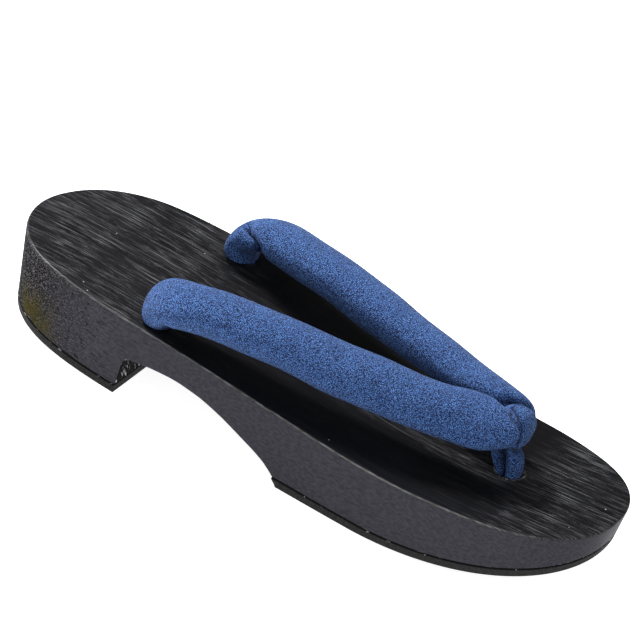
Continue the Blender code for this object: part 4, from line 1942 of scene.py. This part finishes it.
@dataclass
class SideStraps:
    """The padded V: two soft oval arms, joined at the neck, their tails folded under at the rear.

    The free and the swelling rows are the edges of a plateau, in rows of the table.
    """

    sides: int = 96
    path: FinePath = FinePath(coordinates=3, step=0.62, reach=2.2, raw_row=6)
    creases: tuple[Crease, ...] = (FAR_FOLD, FAR_FOLD_SHARP, NEAR_FOLD, *THONG_BEDS, *CROTCH_PITS)
    # the troughs of these creases get painted shade
    shaded: tuple[Crease, ...] = (FAR_FOLD_SHARP, *THONG_BEDS)
    near_bend: Hump = Hump(9.2, 1.1, 1.3)
    near_nose: Hump = Hump(17.6, 1.0, 2.4)
    nose_rise: float = 0.4
    free_rows: Ramp = (7.6, 9.2, 17.0, 18.6)
    swelling_rows: Ramp = (8.5, 10.5, 15.0, 17.0)
    swell: float = 0.35 * MM
    puff: Puff = Puff()

    def arm(self, side: Side) -> tuple[np.ndarray, np.ndarray, np.ndarray]:
        """One arm's surface from its knot to the neck.

        A point at angle a is the middle + half width * cos(a) * width axis + half thickness *
        sin(a) * thickness axis.

        Args:
            side: which arm.

        Returns:
            The points as stations by sides by 3, the middles, and each station's row number.
        """
        rows = {**STRAP_ROWS, **FAR_TAIL_ROWS} if side is Side.FAR else STRAP_ROWS
        table, number = self.path.read(rows)
        middle = table[:, :3].copy()
        turn, pitch, lean = np.radians(table[:, 3:6].T)
        half_wide, half_thick = table[:, 6:8].T.copy()
        if side is Side.NEAR:
            lift = self.near_bend.at(number) / 2
            nose = self.near_nose.at(number)
            half_thick += lift
            middle[:, 2] += lift
            middle[:, 1] -= nose
            middle[:, 2] += self.nose_rise * nose
        level = np.zeros_like(turn)
        sideways = np.column_stack((np.cos(turn), -np.sin(turn), level))
        back = np.column_stack((np.sin(turn), np.cos(turn), level))
        upward = np.cos(pitch)[:, None] * (0, 0, 1) + np.sin(pitch)[:, None] * back
        wide = np.cos(lean)[:, None] * sideways - np.sin(lean)[:, None] * upward
        thick = np.sin(lean)[:, None] * sideways + np.cos(lean)[:, None] * upward
        angle = np.arange(self.sides) * 2 * math.pi / self.sides
        grid = (
            middle[:, None]
            + (half_wide[:, None] * np.cos(angle))[..., None] * wide[:, None]
            + (half_thick[:, None] * np.sin(angle))[..., None] * thick[:, None]
        )
        grid[-1, :, 0] = 0.0
        mirror = (side.value, 1, 1)
        return grid * mirror * MM, middle * mirror * MM, number

    def surface(self) -> tuple[np.ndarray, np.ndarray]:
        """Both arms as one tube from the far knot to the near knot, with its folds and swells.

        The swell is a sum of sines along the strap.

        Returns:
            The points, and the share of painted shade that the troughs give each.
        """
        far, near = self.arm(Side.FAR), self.arm(Side.NEAR)
        grid, middle, number = (
            np.concatenate((one, other[-2::-1])) for one, other in zip(far, near)
        )
        grid = grid + self.puff.moves(grid, middle, plateau(self.free_rows, number))
        x, y, z = np.moveaxis(grid, -1, 0)
        waves = np.sin(y * 115 + 2.1 * np.sign(x)) + 0.7 * np.sin(y * 210 + z * 150 + x * 60)
        move = self.swell * 0.5 * waves * plateau(self.swelling_rows, number)[:, None]
        for crease in self.creases:
            move = move - crease.relief(grid)
        # painted shade in the troughs
        dark = np.max([crease.shade(grid) for crease in self.shaded], axis=0)
        return grid + move[..., None] * grid_normals(grid, middle), dark

    def build(self, effects: Effects) -> Piece:
        """Build and dress the straps.

        Args:
            effects: the shared node groups.

        Returns:
            The finished piece.
        """
        grid, dark = self.surface()
        piece = new_piece("padded_side_straps", grid, tube_faces(*grid.shape[:2]), {"crease_shade": dark})
        piece.data.materials.append(Crepe("blue_strap_crepe").material(effects))
        return piece


@dataclass
class FrontThong:
    """The padded loop over the apex: one soft band with its two legs in the toe hole."""

    sides: int = 72
    path: FinePath = FinePath(coordinates=2, step=0.42, reach=1.2, raw_row=1)
    press_gap: float = 0.05 * MM
    creases: tuple[Crease, ...] = (THONG_PINCH, *THONG_SIDES)
    knot_rings: int = 20
    knot_pole: float = 0.02
    knot_place: Point = (0.0, -86.6, 12.9)
    knot_half: Point = (8.0, 8.0, 3.1)

    @property
    def angles(self) -> np.ndarray:
        """The angle of each side round a section."""
        return np.arange(self.sides) * 2 * math.pi / self.sides

    def band(self) -> tuple[np.ndarray, np.ndarray]:
        """The band: an oval carried over the neck, its outer face flared wider than its inner one.

        Returns:
            The points, and the share of painted shade that the troughs give each.
        """
        table, _ = self.path.read(THONG_ROWS)
        place_y, place_z, turn, half_wide, half_thick, flare = table.T[..., None]
        turn = np.radians(turn)
        thick = half_thick * np.sin(self.angles)
        wide = half_wide * np.cos(self.angles) * (1 + flare * np.sin(self.angles))
        points = (wide, place_y + thick * np.cos(turn), place_z - thick * np.sin(turn))
        grid = np.stack(points, axis=-1) * MM
        middle = np.column_stack((np.zeros_like(place_y), place_y, place_z)) * MM
        depth = sum(crease.relief(grid) for crease in self.creases)
        # painted shade in the troughs
        dark = np.max([crease.shade(grid) for crease in self.creases], axis=0)
        return grid - depth[..., None] * grid_normals(grid, middle), dark

    def knot(self) -> np.ndarray:
        """The knob in the toe recess: an ellipsoid from pole to pole.

        Returns:
            The points as rings by sides by 3.
        """
        polar = np.linspace(self.knot_pole, math.pi - self.knot_pole, self.knot_rings)[:, None]
        level = np.zeros(self.sides)
        points = (
            np.sin(polar) * np.cos(self.angles),
            np.sin(polar) * np.sin(self.angles),
            np.cos(polar) + level,
        )
        return (np.stack(points, axis=-1) * self.knot_half + self.knot_place) * MM

    def build(self, effects: Effects, straps: Piece) -> Piece:
        """Build and dress the thong, pressed clear of the straps.

        Args:
            effects: the shared node groups.
            straps: the straps that it loops over.

        Returns:
            The finished piece.
        """
        band, dark = self.band()
        knot = self.knot()
        verts = np.concatenate((band.reshape(-1, 3), knot.reshape(-1, 3)))
        faces = tube_faces(*band.shape[:2])
        for face in tube_faces(*knot.shape[:2]):
            faces.append([dark.size + corner for corner in face])
        marks = np.append(dark, np.zeros(knot.size // 3))
        piece = new_piece("padded_front_thong", verts, faces, {"crease_shade": marks})
        press = piece.modifiers.new("pressed_on_the_straps", "SHRINKWRAP")
        press.target = straps
        press.wrap_method = "NEAREST_SURFACEPOINT"
        press.wrap_mode = "OUTSIDE"
        press.offset = self.press_gap
        finish_modifiers(piece)
        piece.data.materials.append(Crepe("blue_thong_crepe").material(effects))
        return piece


# ---- the studio


@dataclass(frozen=True)
class Lamp:
    """A soft square lamp: its name, its place, the length of its side and its power."""

    name: str
    place: Point
    side: float
    power: float

    def build(self, target: Point) -> None:
        """Add the lamp, turned to face the target.

        Args:
            target: the place that it faces.
        """
        data = bpy.data.lights.new(self.name, "AREA")
        data.size = self.side
        data.energy = self.power
        lamp = bpy.data.objects.new(self.name, data)
        aim = Vector(target) - Vector(self.place)
        turn = aim.to_track_quat("-Z", "Y").to_matrix().to_4x4()
        lamp.matrix_world = Matrix.Translation(self.place) @ turn
        bpy.context.scene.collection.objects.link(lamp)


@dataclass
class Studio:
    """A plain pale floor, soft light and the camera at the photograph's angle."""

    azimuth: float = math.radians(-71.773)
    elevation: float = math.radians(31.326)
    roll: float = math.radians(19.882)
    distance: float = 2401.65 * MM
    shift_right: float = 7.608 * MM
    shift_up: float = 41.962 * MM
    focal_pixels: float = 6059.25
    frame_pixels: float = 640.0
    sensor: float = 36.0
    clip: Ramp = (0.05, 50.0)
    floor_half: float = 4.0
    floor_grey: float = 0.6
    floor_glow: float = 0.9
    floor_roughness: float = 0.9
    floor_specular: float = 0.1
    bright_side: Point = (-0.811, -0.267, 0.52)
    sky: Ramp = (-0.5, 0.7, 0.06, 1.02)
    target: Point = (0.0, 0.0, 0.03)
    lamps: tuple[Lamp, ...] = (
        Lamp("key", (0.42, 1.1, 1.2), 0.4, 54.0),
        Lamp("rim", (-0.75, 0.1, 1.25), 0.4, 3.0),
    )

    def set_camera(self) -> None:
        """Set the camera: it looks along its own axes, turned by the roll."""
        sin_a, cos_a = math.sin(self.azimuth), math.cos(self.azimuth)
        sin_e, cos_e = math.sin(self.elevation), math.cos(self.elevation)
        back = Vector((sin_a * cos_e, -cos_a * cos_e, sin_e))
        right = Vector((cos_a, sin_a, 0.0))
        up = back.cross(right)
        turned_right = math.cos(self.roll) * right + math.sin(self.roll) * up
        turned_up = -math.sin(self.roll) * right + math.cos(self.roll) * up
        where = self.distance * back + self.shift_right * turned_right + self.shift_up * turned_up
        data = bpy.data.cameras.new("camera")
        data.sensor_width = self.sensor
        data.lens = self.focal_pixels / self.frame_pixels * self.sensor
        data.clip_start, data.clip_end = self.clip
        camera = bpy.data.objects.new("camera", data)
        axes = Matrix((turned_right, turned_up, back)).transposed()
        camera.matrix_world = Matrix.Translation(where) @ axes.to_4x4()
        bpy.context.scene.collection.objects.link(camera)
        bpy.context.scene.camera = camera

    def lay_floor(self) -> None:
        """Lay the pale floor, which glows a little."""
        half = self.floor_half
        corners = [(-half, -half, 0), (half, -half, 0), (half, half, 0), (-half, half, 0)]
        mesh = bpy.data.meshes.new("floor")
        mesh.from_pydata(corners, [], [(0, 1, 2, 3)])
        floor = bpy.data.objects.new("floor", mesh)
        bpy.context.scene.collection.objects.link(floor)
        _, shader, made = new_material("pale_floor")
        grey = self.floor_grey
        shader.inputs["Base Color"].default_value = (grey, grey, grey, 1.0)
        shader.inputs["Roughness"].default_value = self.floor_roughness
        shader.inputs["Specular IOR Level"].default_value = self.floor_specular
        shader.inputs["Emission Color"].default_value = (1.0, 1.0, 1.0, 1.0)
        shader.inputs["Emission Strength"].default_value = self.floor_glow
        mesh.materials.append(made)

    def light_sky(self) -> None:
        """Light the room softly: bright behind the camera and overhead, dim on the far side."""
        world = bpy.data.worlds.new("studio")
        world.use_nodes = True
        bpy.context.scene.world = world
        nodes = Nodes(world.node_tree)
        direction = nodes.add("ShaderNodeTexCoord").outputs["Generated"]
        facing = nodes.vectors("DOT_PRODUCT", in0=direction, in1=self.bright_side)
        background = world.node_tree.nodes["Background"]
        background.inputs["Color"].default_value = (1.0, 1.0, 1.0, 1.0)
        nodes.give(background.inputs["Strength"], nodes.ramp(facing.outputs["Value"], *self.sky))

    def build(self) -> None:
        """Set up the whole studio."""
        self.set_camera()
        self.lay_floor()
        self.light_sky()
        for lamp in self.lamps:
            lamp.build(self.target)
        bpy.context.scene.view_settings.view_transform = "Standard"


def main() -> None:
    """Build the studio and the shoe, and report each piece."""
    logging.basicConfig(level=logging.INFO, format="%(name)s: %(message)s")
    Studio().build()
    effects = Effects()
    lines = ShoeLines()
    place(WoodenBase(lines).build(effects), "wooden_base", Slot.WOOD)
    place(RubberSole(lines, Tread.FRONT).build(), "front_rubber_sole", Slot.RUBBER)
    place(RubberSole(lines, Tread.HEEL).build(), "heel_rubber_sole", Slot.RUBBER)
    straps = SideStraps().build(effects)
    place(straps, "side_straps", Slot.CREPE)
    place(FrontThong().build(effects, straps), "front_thong", Slot.CREPE)


if __name__ == "__main__":
    main()
